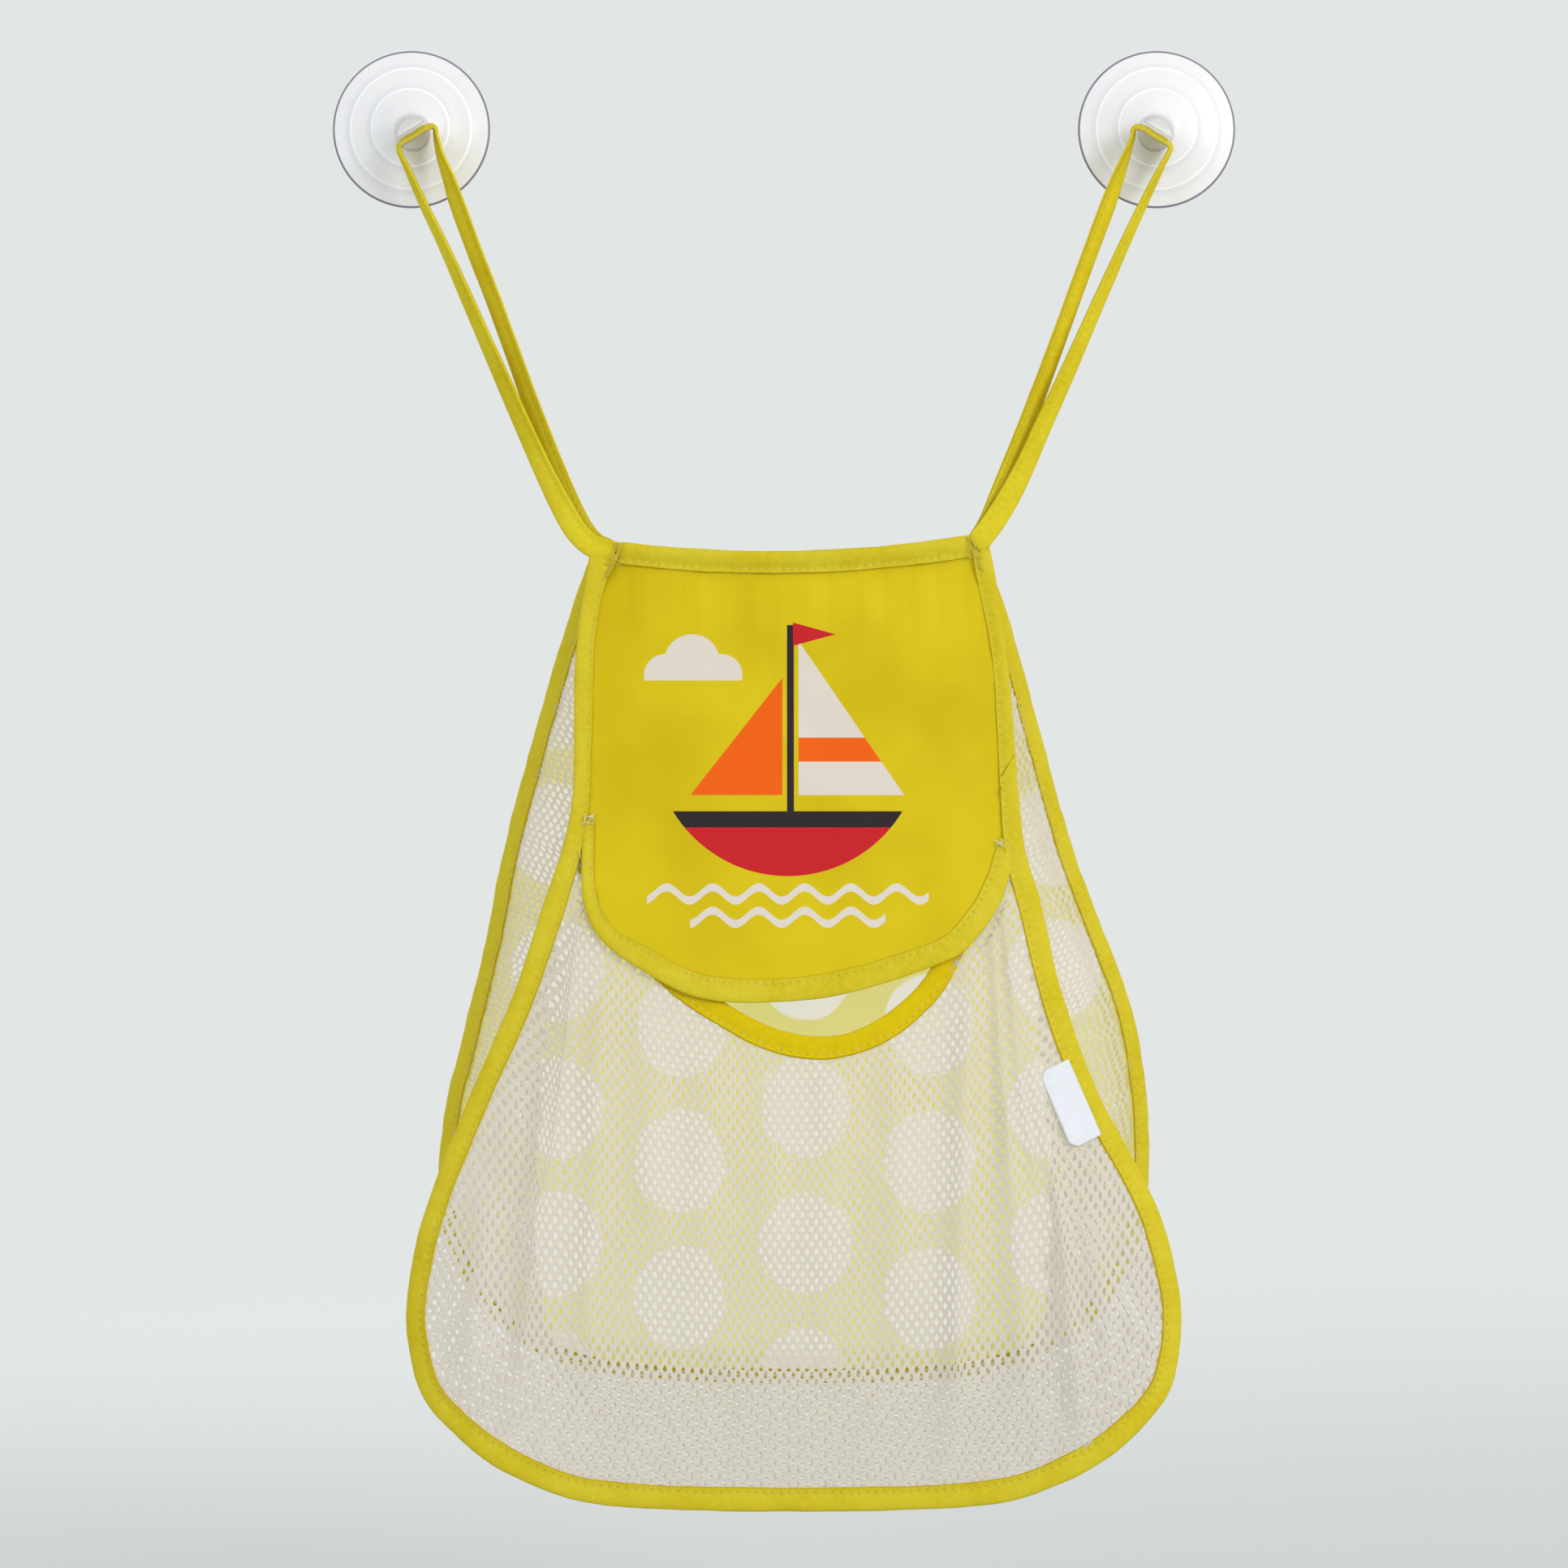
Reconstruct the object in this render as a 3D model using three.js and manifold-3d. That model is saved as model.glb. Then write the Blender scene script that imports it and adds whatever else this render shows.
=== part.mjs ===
// Bath toy organizer: a net bag with a flap over its mouth, hung from two suction cups.
// Millimetres. X runs to the right, Z runs up, and the front faces -Y.
// The wall is the plane y = 0, and the origin lies on it midway between the two cups.

import * as THREE from 'three';
import { mergeVertices } from 'three/addons/utils/BufferGeometryUtils.js';
import Module from 'manifold-3d';

const wasm = await Module();
wasm.setup();

// Clearances
const seat_gap = 0.3; // left between two pieces that touch on the real thing
const lay_gap = 0.5; // left where a curved piece lies on another
const overrun = 12; // how far a cutting shape runs past what it cuts

// Suction cups
const cup_spacing = 284.4;
const cup_diameter = 60;
const cup_seat_width = 5; // the flat ring that seals on the wall
const cup_lip = 1.1; // thickness at the outer edge
const cup_rise = 9.5; // from the wall to the foot of the head
const cup_hollow = 2.2; // depth of the hollow when the cup is pressed on
const hollow_share = 0.7; // what is left of the hollow halfway out to the seat
const ring_step = 0.5; // height of the two soft rings
const cup_sides = 40;

// Head of a cup, and the slot that the strap runs through
const head_diameter = 12.4;
const head_length = 13;
const head_fillet = 1;
const head_droop = 2.6; // how far the load pulls the head's foot off centre
const head_tilt = THREE.MathUtils.degToRad(17);
const slot_tilt = THREE.MathUtils.degToRad(32);
const slot_wall = 1.4; // material in front of the slot
const head_sides = 24;

// Binding tape, folded and sewn, and the strap made of the same tape
const tape_width = 8.6;
const tape_thickness = 2;
const slot_clearance = 1.6; // the slot is this much higher than the tape is thick
const slot_height = tape_thickness + slot_clearance;
const slot_length = tape_width + 4 * seat_gap;

// Sheets
const net_thickness = 0.8;
const coated_thickness = 0.8;
const back_thickness = 1;
const sheet_step = 18;
const net_columns = 12; // openings across the widest part of the front net
const net_opening_share = [0.46, 0.66]; // width and height of an opening, of a column's width
const net_row_share = 0.95; // from row to row, of a column's width
const net_rib = 4; // left between an opening and a binding

// Top seam, where the strap tape meets the top binding at a bar tack on each side
const left_seam_x = -64;
const right_seam_x = 71.8;
const left_seam_drop = 162.2; // below the cups' centre line
const right_seam_drop = 159.6;
const seam_sag = 5;
const seam_depth = 15.4; // from the wall to the middle of the top binding

// Front of the bag
const bag_centre_x = 3.4;
const top_drop = 158; // where both outlines begin, below the cups' centre line
const front_height = 349;
const front_half_width = 138;
const belly_depth = 88;
const crown_band = 34; // the strip beside the binding in which the front rises

// Back of the bag
const back_height = 317;
const back_half_width = 132;
const back_top_depth = 13.2;
const back_rest_depth = 3; // the back hangs this far off the wall

// Side and floor strip between front and back
const gusset_tuck = 38; // how far the side strip folds inwards

// Flap and mouth
const left_hinge_drop = 262;
const right_hinge_drop = 269.6;
const hinge_width_share = 0.568; // of the front's width
const flap_half_width = 74.3;
const flap_height = 60;
const mouth_half_width = 80;
const mouth_height = 80.5;

// Label and thread tacks
const label_width = 12;
const label_length = 29.5;
const label_thickness = 0.6;
const label_drop = 366.5;
const label_lean = THREE.MathUtils.degToRad(23);
const tack_thickness = 0.6;
const tack_width = 5;
const tack_height = 4;
const corner_tack_width = 3;
const tack_clear = 2; // from the flap's fold line to its tack

// Outline of the front: share of its height, half width and sideways shift as shares of the width.
const front_side_shares = [
  [0.012, 0.518, -0.007],
  [0.12, 0.556, -0.005],
  [0.23, 0.567, 0.004],
  [0.283, 0.573, 0.007],
  [0.334, 0.593, 0.001],
  [0.386, 0.633, -0.002],
  [0.489, 0.706, -0.015],
  [0.59, 0.806, -0.024],
  [0.691, 0.924, -0.007],
  [0.743, 0.967, -0.002],
  [0.81, 0.995, 0.001],
  [0.855, 0.985, 0.003],
  [0.893, 0.952, 0.004],
  [0.934, 0.847, 0.005],
  [0.957, 0.762, 0.004],
  [0.975, 0.67, 0.004],
  [0.989, 0.57, 0.004],
  [0.996, 0.44, 0.003],
  [1.0, 0.2, 0.0],
];
const front_widest_share = 0.81;

// Outline of the back, in the same way.
const back_side_shares = [
  [0.022, 0.556, -0.017],
  [0.079, 0.605, -0.016],
  [0.133, 0.645, -0.017],
  [0.256, 0.727, -0.018],
  [0.372, 0.799, -0.013],
  [0.489, 0.88, 0.012],
  [0.546, 0.923, 0.021],
  [0.606, 0.958, 0.021],
  [0.666, 0.986, 0.012],
  [0.722, 1.0, 0.006],
  [0.779, 1.0, 0.0],
  [0.842, 0.975, 0.0],
  [0.905, 0.9, 0.0],
  [0.946, 0.8, 0.0],
  [0.978, 0.65, 0.0],
  [0.996, 0.42, 0.0],
  [1.0, 0.15, 0.0],
];

// Depth of the front at its side binding, and how much further its middle stands out.
const front_depth_shares = [
  [0.0, 0.0, 0.0],
  [0.12, 0.11, 0.0],
  [0.306, 0.315, 0.01],
  [0.489, 0.53, 0.07],
  [0.69, 0.73, 0.13],
  [0.834, 0.81, 0.16],
  [1.0, 0.83, 0.16],
];

// How much of the back's lean towards the wall is left at each height.
const back_lean_shares = [
  [0.0, 1.0],
  [0.1, 0.76],
  [0.2, 0.52],
  [0.33, 0.26],
  [0.5, 0.08],
  [0.65, 0.0],
  [1.0, 0.0],
];

// Inward fold of the side strip, from the top left corner round to the top right one.
const gusset_tuck_shares = [
  [0.0, 0.0],
  [0.1, 0.16],
  [0.19, 0.45],
  [0.25, 0.79],
  [0.29, 0.97],
  [0.33, 1.0],
  [0.37, 0.72],
  [0.42, 0.12],
  [0.46, 0.0],
  [0.54, 0.0],
  [0.58, 0.12],
  [0.63, 0.72],
  [0.67, 1.0],
  [0.71, 0.97],
  [0.75, 0.79],
  [0.81, 0.45],
  [0.9, 0.16],
  [1.0, 0.0],
];
const gusset_start_share = 0.05;

// Middle line of the flap's binding and of the mouth's binding: across and down, as shares.
const flap_edge_shares = [
  [-0.997, -0.06],
  [-0.993, 0.4],
  [-0.955, 0.56],
  [-0.87, 0.69],
  [-0.7, 0.83],
  [-0.46, 0.97],
  [-0.155, 1.0],
  [0.164, 0.967],
  [0.474, 0.87],
  [0.77, 0.735],
  [0.83, 0.678],
  [0.915, 0.556],
  [0.955, 0.485],
  [0.99, 0.4],
  [1.02, 0.3],
  [1.03, 0.2],
  [1.031, 0.06],
];
const mouth_edge_shares = [
  [-0.99, 0.1],
  [-0.86, 0.36],
  [-0.67, 0.59],
  [-0.48, 0.75],
  [-0.29, 0.87],
  [-0.144, 0.945],
  [0.005, 0.989],
  [0.153, 1.0],
  [0.3, 0.97],
  [0.45, 0.896],
  [0.64, 0.724],
  [0.7525, 0.523],
  [0.885, 0.3],
  [0.99, 0.1],
];

// Route of a strap leg from the slot to the seam: along it and outwards, as shares of its length.
const left_outer_leg_shares = [
  [0.012, 0.04],
  [0.06, 0.0435],
  [0.14, 0.0458],
  [0.26, 0.0465],
  [0.37, 0.0502],
  [0.49, 0.0545],
  [0.6, 0.058],
  [0.7, 0.061],
  [0.793, 0.0625],
  [0.88, 0.06],
  [0.93, 0.0535],
  [0.965, 0.039],
  [0.985, 0.02],
  [1.0, 0.0],
];
const left_inner_leg_shares = [
  [0.004, -0.047],
  [0.026, -0.042],
  [0.062, -0.033],
  [0.118, -0.0268],
  [0.172, -0.0197],
  [0.284, -0.0088],
  [0.4, 0.0005],
  [0.51, 0.0114],
  [0.62, 0.023],
  [0.73, 0.033],
  [0.843, 0.0415],
  [0.9, 0.043],
  [0.94, 0.039],
  [0.968, 0.029],
  [0.986, 0.014],
  [1.0, 0.0],
];
const right_outer_leg_shares = [
  [0.012, 0.0425],
  [0.05, 0.0425],
  [0.1, 0.0405],
  [0.17, 0.038],
  [0.27, 0.0365],
  [0.45, 0.036],
  [0.565, 0.036],
  [0.685, 0.034],
  [0.8, 0.033],
  [0.865, 0.029],
  [0.928, 0.0205],
  [0.965, 0.0125],
  [0.985, 0.006],
  [1.0, 0.0],
];
const right_inner_leg_shares = [
  [0.004, -0.047],
  [0.026, -0.0435],
  [0.064, -0.0397],
  [0.122, -0.036],
  [0.18, -0.0323],
  [0.295, -0.0258],
  [0.41, -0.0184],
  [0.526, -0.0105],
  [0.642, -0.0037],
  [0.757, 0.0032],
  [0.873, 0.0093],
  [0.932, 0.0122],
  [0.965, 0.0095],
  [0.985, 0.005],
  [1.0, 0.0],
];

// Quarter turns of the tape, from edge-on in the slot to flat at the seam.
const outer_twist_shares = [
  [0.0, 0.0],
  [0.03, 0.04],
  [0.085, 0.14],
  [0.15, 0.2],
  [0.26, 0.27],
  [0.37, 0.34],
  [0.49, 0.41],
  [0.6, 0.48],
  [0.7, 0.55],
  [0.79, 0.66],
  [0.86, 0.8],
  [0.93, 0.96],
  [1.0, 1.0],
];
const inner_twist_shares = [
  [0.0, 0.0],
  [0.03, 0.04],
  [0.07, 0.18],
  [0.12, 0.33],
  [0.18, 0.44],
  [0.3, 0.44],
  [0.5, 0.45],
  [0.6, 0.48],
  [0.7, 0.54],
  [0.79, 0.65],
  [0.86, 0.79],
  [0.93, 0.96],
  [1.0, 1.0],
];

// Profile of a cup's face: share of the radius, then share of the rise above the lip.
const cup_face_shares = [
  [0.78, 0.19],
  [0.76, 0.21],
  [0.5, 0.5],
  [0.48, 0.53],
  [0.3, 0.82],
  [0.22, 1.0],
];

// Finishes
const tape_finish = { color: 0xd0c12c, roughness: 0.75, metalness: 0 };
const mouth_tape_finish = { color: 0xdec40c, roughness: 0.7, metalness: 0 };
const coated_finish = { color: 0xdecb0c, roughness: 0.45, metalness: 0 };
const back_finish = { color: 0xe7e494, roughness: 0.55, metalness: 0 };
const net_finish = { color: 0xe9e5e0, roughness: 0.6, metalness: 0 };
const cup_finish = { color: 0xf2f2f2, roughness: 0.15, metalness: 0 };
const label_finish = { color: 0xf4f4f2, roughness: 0.7, metalness: 0 };
const thread_finish = { color: 0xe6e2b0, roughness: 0.8, metalness: 0 };

const forward = new THREE.Vector3(0, -1, 0);

// Smooth curve through one column of a table whose first column rises.
function readTable(table, share, column = 1) {
  const last = table.length - 1;
  let k = 0;
  while (k < last - 1 && share > table[k + 1][0]) {
    k += 1;
  }
  const slopeAt = (i) => {
    const before = table[Math.max(i - 1, 0)];
    const after = table[Math.min(i + 1, last)];
    return (after[column] - before[column]) / (after[0] - before[0]);
  };
  const span = table[k + 1][0] - table[k][0];
  const t = THREE.MathUtils.clamp((share - table[k][0]) / span, 0, 1);
  const ease = t * t * (3 - 2 * t);
  const bend = t * (1 - t);
  const straight = table[k][column] * (1 - ease) + table[k + 1][column] * ease;
  return straight + span * bend * (slopeAt(k) * (1 - t) - slopeAt(k + 1) * t);
}

// A closed surface from rings of points, each ring convex and turning left about the way it is swept.
function sweepRings(rings) {
  const count = rings[0].length;
  const positions = rings.flat().flatMap((p) => [p.x, p.y, p.z]);
  const index = [];
  const end = (rings.length - 1) * count;
  for (let i = 0; i < rings.length - 1; i += 1) {
    for (let j = 0; j < count; j += 1) {
      const a = i * count + j;
      const b = i * count + ((j + 1) % count);
      index.push(a, b, b + count, a, b + count, a + count);
    }
  }
  for (let j = 1; j < count - 1; j += 1) {
    index.push(0, j + 1, j, end, end + j, end + j + 1);
  }
  const geometry = new THREE.BufferGeometry();
  geometry.setAttribute('position', new THREE.Float32BufferAttribute(positions, 3));
  geometry.setIndex(index);
  return geometry;
}

// A closed sheet of even thickness from a grid of points.
function slab(grid, thickness) {
  const rows = grid.length;
  const columns = grid[0].length;
  const normalAt = (i, j) => {
    const along = grid[Math.min(i + 1, rows - 1)][j].clone().sub(grid[Math.max(i - 1, 0)][j]);
    const across = grid[i][Math.min(j + 1, columns - 1)].clone().sub(grid[i][Math.max(j - 1, 0)]);
    return along.cross(across).normalize();
  };
  const positions = [];
  for (const side of [1, -1]) {
    for (let i = 0; i < rows; i += 1) {
      for (let j = 0; j < columns; j += 1) {
        const p = normalAt(i, j).multiplyScalar((side * thickness) / 2).add(grid[i][j]);
        positions.push(p.x, p.y, p.z);
      }
    }
  }
  const under = rows * columns;
  const index = [];
  for (let i = 0; i < rows - 1; i += 1) {
    for (let j = 0; j < columns - 1; j += 1) {
      const a = i * columns + j;
      const [b, c, d] = [a + columns, a + columns + 1, a + 1];
      index.push(a, b, c, a, c, d);
      index.push(under + a, under + c, under + b, under + a, under + d, under + c);
    }
  }
  const wall = (a, b) => index.push(a, b, under + b, a, under + b, under + a);
  for (let i = 0; i < rows - 1; i += 1) {
    wall((i + 1) * columns, i * columns);
    wall(i * columns + columns - 1, (i + 1) * columns + columns - 1);
  }
  for (let j = 0; j < columns - 1; j += 1) {
    wall(j, j + 1);
    wall((rows - 1) * columns + j + 1, (rows - 1) * columns + j);
  }
  const geometry = new THREE.BufferGeometry();
  geometry.setAttribute('position', new THREE.Float32BufferAttribute(positions, 3));
  geometry.setIndex(index);
  return geometry;
}

function mirrored(geometry) {
  const copy = geometry.clone().scale(-1, 1, 1);
  const index = copy.getIndex().array;
  for (let i = 0; i < index.length; i += 3) {
    [index[i], index[i + 1]] = [index[i + 1], index[i]];
  }
  return copy;
}

function toSolid(geometry) {
  const bare = geometry.clone();
  bare.deleteAttribute('normal');
  bare.deleteAttribute('uv');
  const merged = mergeVertices(bare);
  return new wasm.Manifold(new wasm.Mesh({
    numProp: 3,
    vertProperties: new Float32Array(merged.getAttribute('position').array),
    triVerts: new Uint32Array(merged.getIndex().array),
  }));
}

function toGeometry(solid) {
  const mesh = solid.getMesh();
  const geometry = new THREE.BufferGeometry();
  geometry.setAttribute('position', new THREE.BufferAttribute(mesh.vertProperties, 3));
  geometry.setIndex(new THREE.BufferAttribute(mesh.triVerts, 1));
  geometry.computeVertexNormals();
  return geometry;
}

const cut = (solid, ...cutters) => cutters.reduce((left, cutter) => left.subtract(cutter), solid);

// Section of the folded tape, an eight-sided flat bar with eased corners.
function tapeSection(width, thickness) {
  const [w, t] = [width / 2, thickness / 2];
  const ease = t / 2;
  return [
    [w, t - ease], [w - ease, t], [ease - w, t], [-w, t - ease],
    [-w, ease - t], [ease - w, -t], [w - ease, -t], [w, ease - t],
  ];
}

// Tape along points, with the direction in which its width lies at each of them.
function tapeAlong(points, widthAt, width, thickness) {
  const section = tapeSection(width, thickness);
  const rings = points.map((p, i) => {
    const after = points[Math.min(i + 1, points.length - 1)];
    const tangent = after.clone().sub(points[Math.max(i - 1, 0)]).normalize();
    const broad = widthAt(i, tangent);
    broad.addScaledVector(tangent, -broad.dot(tangent)).normalize();
    const thin = tangent.clone().cross(broad);
    return section.map(([a, b]) => p.clone().addScaledVector(broad, a).addScaledVector(thin, b));
  });
  return sweepRings(rings);
}

// The same points with both ends moved out by the gap that a neighbour keeps.
function lengthened(points) {
  const longer = points.map((p) => p.clone());
  const last = points.length - 1;
  longer[0].add(points[0].clone().sub(points[1]).setLength(seat_gap));
  longer[last].add(points[last].clone().sub(points[last - 1]).setLength(seat_gap));
  return longer;
}

// The tape, the room that its neighbours leave for it, and the deeper cut that ends a sheet beside it.
function tapeAndRoom(points, widthAt, width = tape_width, thickness = tape_thickness) {
  const grown = lengthened(points);
  const gaps = 2 * seat_gap;
  return {
    tape: toSolid(tapeAlong(points, widthAt, width, thickness)),
    room: toSolid(tapeAlong(grown, widthAt, width + gaps, thickness + gaps)),
    edge: toSolid(tapeAlong(grown, widthAt, width + gaps, thickness + overrun)),
  };
}

// Tall blocks over outlines drawn in X and Z, running from behind the wall to past the front.
function blockOver(...outlines) {
  const depth = belly_depth + 2 * overrun;
  const shapes = outlines.map(
    (outline) => new THREE.Shape(outline.map(([x, z]) => new THREE.Vector2(x, z))));
  const block = new THREE.ExtrudeGeometry(shapes, { depth, bevelEnabled: false });
  return toSolid(block.rotateX(Math.PI / 2).translate(0, overrun, 0));
}

// Depth of the front surface below the wall plane at a place on it.
function frontDepth(x, z) {
  const share = (-z - top_drop) / front_height;
  const wide = share > front_widest_share ? 1 : readTable(front_side_shares, share);
  const inboard = (front_half_width * wide - Math.abs(x - bag_centre_x)) / crown_band;
  const rise = 1 - (1 - THREE.MathUtils.clamp(inboard, -0.5, 1)) ** 2;
  const out = readTable(front_depth_shares, share) + rise * readTable(front_depth_shares, share, 2);
  return seam_depth + (belly_depth - seam_depth) * out;
}

function backDepth(x, z) {
  const lean = readTable(back_lean_shares, (-z - top_drop) / back_height);
  return back_rest_depth + (back_top_depth - back_rest_depth) * lean;
}

const onSurface = (depthAt, x, z, out = 0) => new THREE.Vector3(x, -depthAt(x, z) - out, z);

function surfaceNormal(depthAt, p) {
  const reach = tape_width / 2;
  const right = onSurface(depthAt, p.x + reach, p.z).sub(onSurface(depthAt, p.x - reach, p.z));
  const up = onSurface(depthAt, p.x, p.z + reach).sub(onSurface(depthAt, p.x, p.z - reach));
  return right.cross(up).normalize();
}

// A sheet that follows a surface, over a whole number of steps in X and Z.
function sheetOn(depthAt, thickness, out, [x0, x1], [z0, z1]) {
  const first = Math.floor(x0 / sheet_step);
  const last = Math.ceil(x1 / sheet_step);
  const low = Math.floor(z0 / sheet_step);
  const high = Math.ceil(z1 / sheet_step);
  const grid = [];
  for (let i = first; i <= last; i += 1) {
    const column = [];
    for (let j = low; j <= high; j += 1) {
      column.push(onSurface(depthAt, i * sheet_step, j * sheet_step, out));
    }
    grid.push(column);
  }
  return toSolid(slab(grid, thickness));
}

// Points of an outline, down the left side, along the bottom and up the right side.
function outlinePoints(sideShares, height, halfWidth, depthAt, count) {
  const place = (side) => ([down, wide, shift]) => {
    const x = bag_centre_x + halfWidth * (shift + side * wide);
    return onSurface(depthAt, x, -top_drop - height * down);
  };
  const left = sideShares.map(place(-1));
  const right = sideShares.map(place(1)).reverse();
  const curve = new THREE.CatmullRomCurve3([...left, ...right], false, 'centripetal');
  curve.arcLengthDivisions = 1000;
  return curve.getSpacedPoints(count);
}

const outline_steps = 64;
const front_outline = outlinePoints(
  front_side_shares, front_height, front_half_width, frontDepth, outline_steps);
const back_outline = outlinePoints(
  back_side_shares, back_height, back_half_width, backDepth, outline_steps);
const flat = (points) => points.map((p) => [p.x, p.z]);
const front_block = blockOver(flat(front_outline));
const back_block = blockOver(flat(back_outline));

// Fold line of the flap, straight from one tack to the other.
const left_hinge_x = bag_centre_x - front_half_width * hinge_width_share;
const right_hinge_x = bag_centre_x + front_half_width * hinge_width_share;
const hinge_width = right_hinge_x - left_hinge_x;
const foldDrop = (x) => THREE.MathUtils.lerp(
  left_hinge_drop, right_hinge_drop, (x - left_hinge_x) / hinge_width);
const flap_out = tape_thickness + lay_gap;

// Binding laid flat on a surface along points of its middle line.
function surfaceBinding(depthAt, points) {
  const widthAt = (i, tangent) => surfaceNormal(depthAt, points[i]).cross(tangent);
  return tapeAndRoom(points, widthAt);
}

// Middle line of a curved edge on the front, from shares across and down from the fold line.
const fold_middle_drop = (left_hinge_drop + right_hinge_drop) / 2;

function edgeLine(shares, halfWidth, height, out, count) {
  const spots = shares.map(([across, down]) => {
    const x = bag_centre_x + halfWidth * across;
    return new THREE.Vector3(x, 0, -fold_middle_drop - height * down);
  });
  const curve = new THREE.CatmullRomCurve3(spots, false, 'centripetal');
  return curve.getSpacedPoints(count).map((p) => onSurface(frontDepth, p.x, p.z, out));
}

// Strap: one tape from the seam up to the slot, through it and back down behind itself.
function strapFrame(seamX, seamDrop) {
  const cup = new THREE.Vector3(-cup_spacing / 2, -cup_rise, 0);
  const seam = new THREE.Vector3(-Math.abs(seamX), -cup_rise, -seamDrop);
  const pull = seam.clone().sub(cup).setY(0).normalize();
  const axis = forward.clone().multiplyScalar(Math.cos(head_tilt));
  axis.addScaledVector(pull, Math.sin(head_tilt)).normalize();
  const foot = cup.clone().addScaledVector(pull, head_droop);
  const level = new THREE.Vector3(Math.cos(slot_tilt), 0, Math.sin(slot_tilt));
  const through = level.addScaledVector(axis, -level.dot(axis)).normalize();
  const under = through.clone().cross(axis);
  const reach = head_length - slot_wall - slot_length / 2;
  const slot = foot.clone().addScaledVector(axis, reach);
  const settle = (slot_height - tape_thickness) / 2 - seat_gap;
  const rest = slot.clone().addScaledVector(under, settle);
  return { foot, axis, through, under, slot, rest };
}

const strap_steps = 64;

function strapLoop(seamX, seamDrop, outerShares, innerShares) {
  const { axis, through, rest } = strapFrame(seamX, seamDrop);
  const layer = (tape_thickness + seat_gap) / 2;
  const end = new THREE.Vector3(-Math.abs(seamX), -seam_depth, -seamDrop);
  const span = end.clone().sub(rest).setY(0);
  const length = span.length();
  const along = span.clone().normalize();
  const outward = new THREE.Vector3(along.z, 0, -along.x);
  const place = (layerSide) => ([down, out]) => {
    const p = rest.clone().addScaledVector(along, length * down);
    p.addScaledVector(outward, length * out);
    p.y = THREE.MathUtils.lerp(rest.y, end.y - layerSide * layer, down);
    return p;
  };
  const half = head_diameter / 2 + seat_gap;
  const passage = [-1, 0, 1].map((side) => rest.clone().addScaledVector(through, side * half));
  const outer = outerShares.map(place(1)).reverse();
  const inner = innerShares.map(place(-1));
  const curve = new THREE.CatmullRomCurve3([...outer, ...passage, ...inner], false, 'centripetal');
  const middle = (outer.length + 1) / (outer.length + inner.length + 2);
  const turning = [];
  const points = [];
  for (let i = 0; i <= strap_steps; i += 1) {
    const t = i / strap_steps;
    const p = curve.getPoint(t);
    const down = THREE.MathUtils.clamp(p.clone().sub(rest).dot(along) / length, 0, 1);
    points.push(p);
    turning.push(t < middle ? readTable(outer_twist_shares, down) : -readTable(inner_twist_shares, down));
  }
  const widthAt = (i, tangent) => {
    const edge = axis.clone().lerp(forward, Math.abs(turning[i]));
    edge.addScaledVector(tangent, -edge.dot(tangent)).normalize();
    const broad = tangent.clone().cross(edge);
    const angle = (turning[i] * Math.PI) / 2;
    return edge.multiplyScalar(Math.cos(angle)).addScaledVector(broad, Math.sin(angle));
  };
  return { points, widthAt };
}

// Suction cup: a soft dished disc with a drooping head and a slot across it.
function suctionCup(seamX, seamDrop) {
  const { foot, axis, through, under, slot } = strapFrame(seamX, seamDrop);
  const radius = cup_diameter / 2;
  const rise = cup_rise - cup_lip;
  const steps = cup_face_shares.map(([out, up], i) => {
    const ring = i % 2 === 1 ? ring_step : 0;
    return new THREE.Vector2(radius * out, cup_lip + rise * up + (i < 4 ? ring : 0));
  });
  const profile = [
    new THREE.Vector2(0, cup_hollow),
    new THREE.Vector2((radius - cup_seat_width) / 2, cup_hollow * hollow_share),
    new THREE.Vector2(radius - cup_seat_width, 0),
    new THREE.Vector2(radius, 0),
    new THREE.Vector2(radius, cup_lip),
    ...steps,
    new THREE.Vector2(0, cup_rise),
  ];
  const disc = new THREE.LatheGeometry(profile, cup_sides).rotateX(Math.PI);
  disc.translate(-cup_spacing / 2, 0, 0);

  const root = cup_rise / 2;
  const headRadius = head_diameter / 2;
  const headProfile = [
    new THREE.Vector2(0, -root),
    new THREE.Vector2(headRadius, -root),
    new THREE.Vector2(headRadius, head_length - head_fillet),
    new THREE.Vector2(headRadius - head_fillet, head_length),
    new THREE.Vector2(0, head_length),
  ];
  const head = new THREE.LatheGeometry(headProfile, head_sides);
  const turn = new THREE.Quaternion().setFromUnitVectors(new THREE.Vector3(0, 1, 0), axis);
  head.applyQuaternion(turn).translate(foot.x, foot.y, foot.z);

  const [a, b] = [slot_length / 2, slot_height / 2];
  const hole = new THREE.Shape();
  hole.moveTo(-a + b, -b);
  hole.lineTo(a - b, -b);
  hole.absarc(a - b, 0, b, -Math.PI / 2, Math.PI / 2);
  hole.lineTo(-a + b, b);
  hole.absarc(-a + b, 0, b, Math.PI / 2, Math.PI * 1.5);
  const reach = head_diameter + overrun;
  const cutter = new THREE.ExtrudeGeometry(hole, { depth: reach, bevelEnabled: false, curveSegments: 5 });
  const start = slot.clone().addScaledVector(through, -reach / 2);
  cutter.applyMatrix4(new THREE.Matrix4().makeBasis(axis, under, through).setPosition(start));
  return toGeometry(toSolid(disc).add(toSolid(head)).subtract(toSolid(cutter)));
}

const left_strap = strapLoop(
  left_seam_x,
  left_seam_drop,
  left_outer_leg_shares,
  left_inner_leg_shares,
);
const right_strap = strapLoop(
  right_seam_x,
  right_seam_drop,
  right_outer_leg_shares,
  right_inner_leg_shares,
);

const strapSolid = ({ points, widthAt }, width, thickness, turned) => {
  const geometry = tapeAlong(points, widthAt, width, thickness);
  return toSolid(turned ? mirrored(geometry) : geometry);
};

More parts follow.
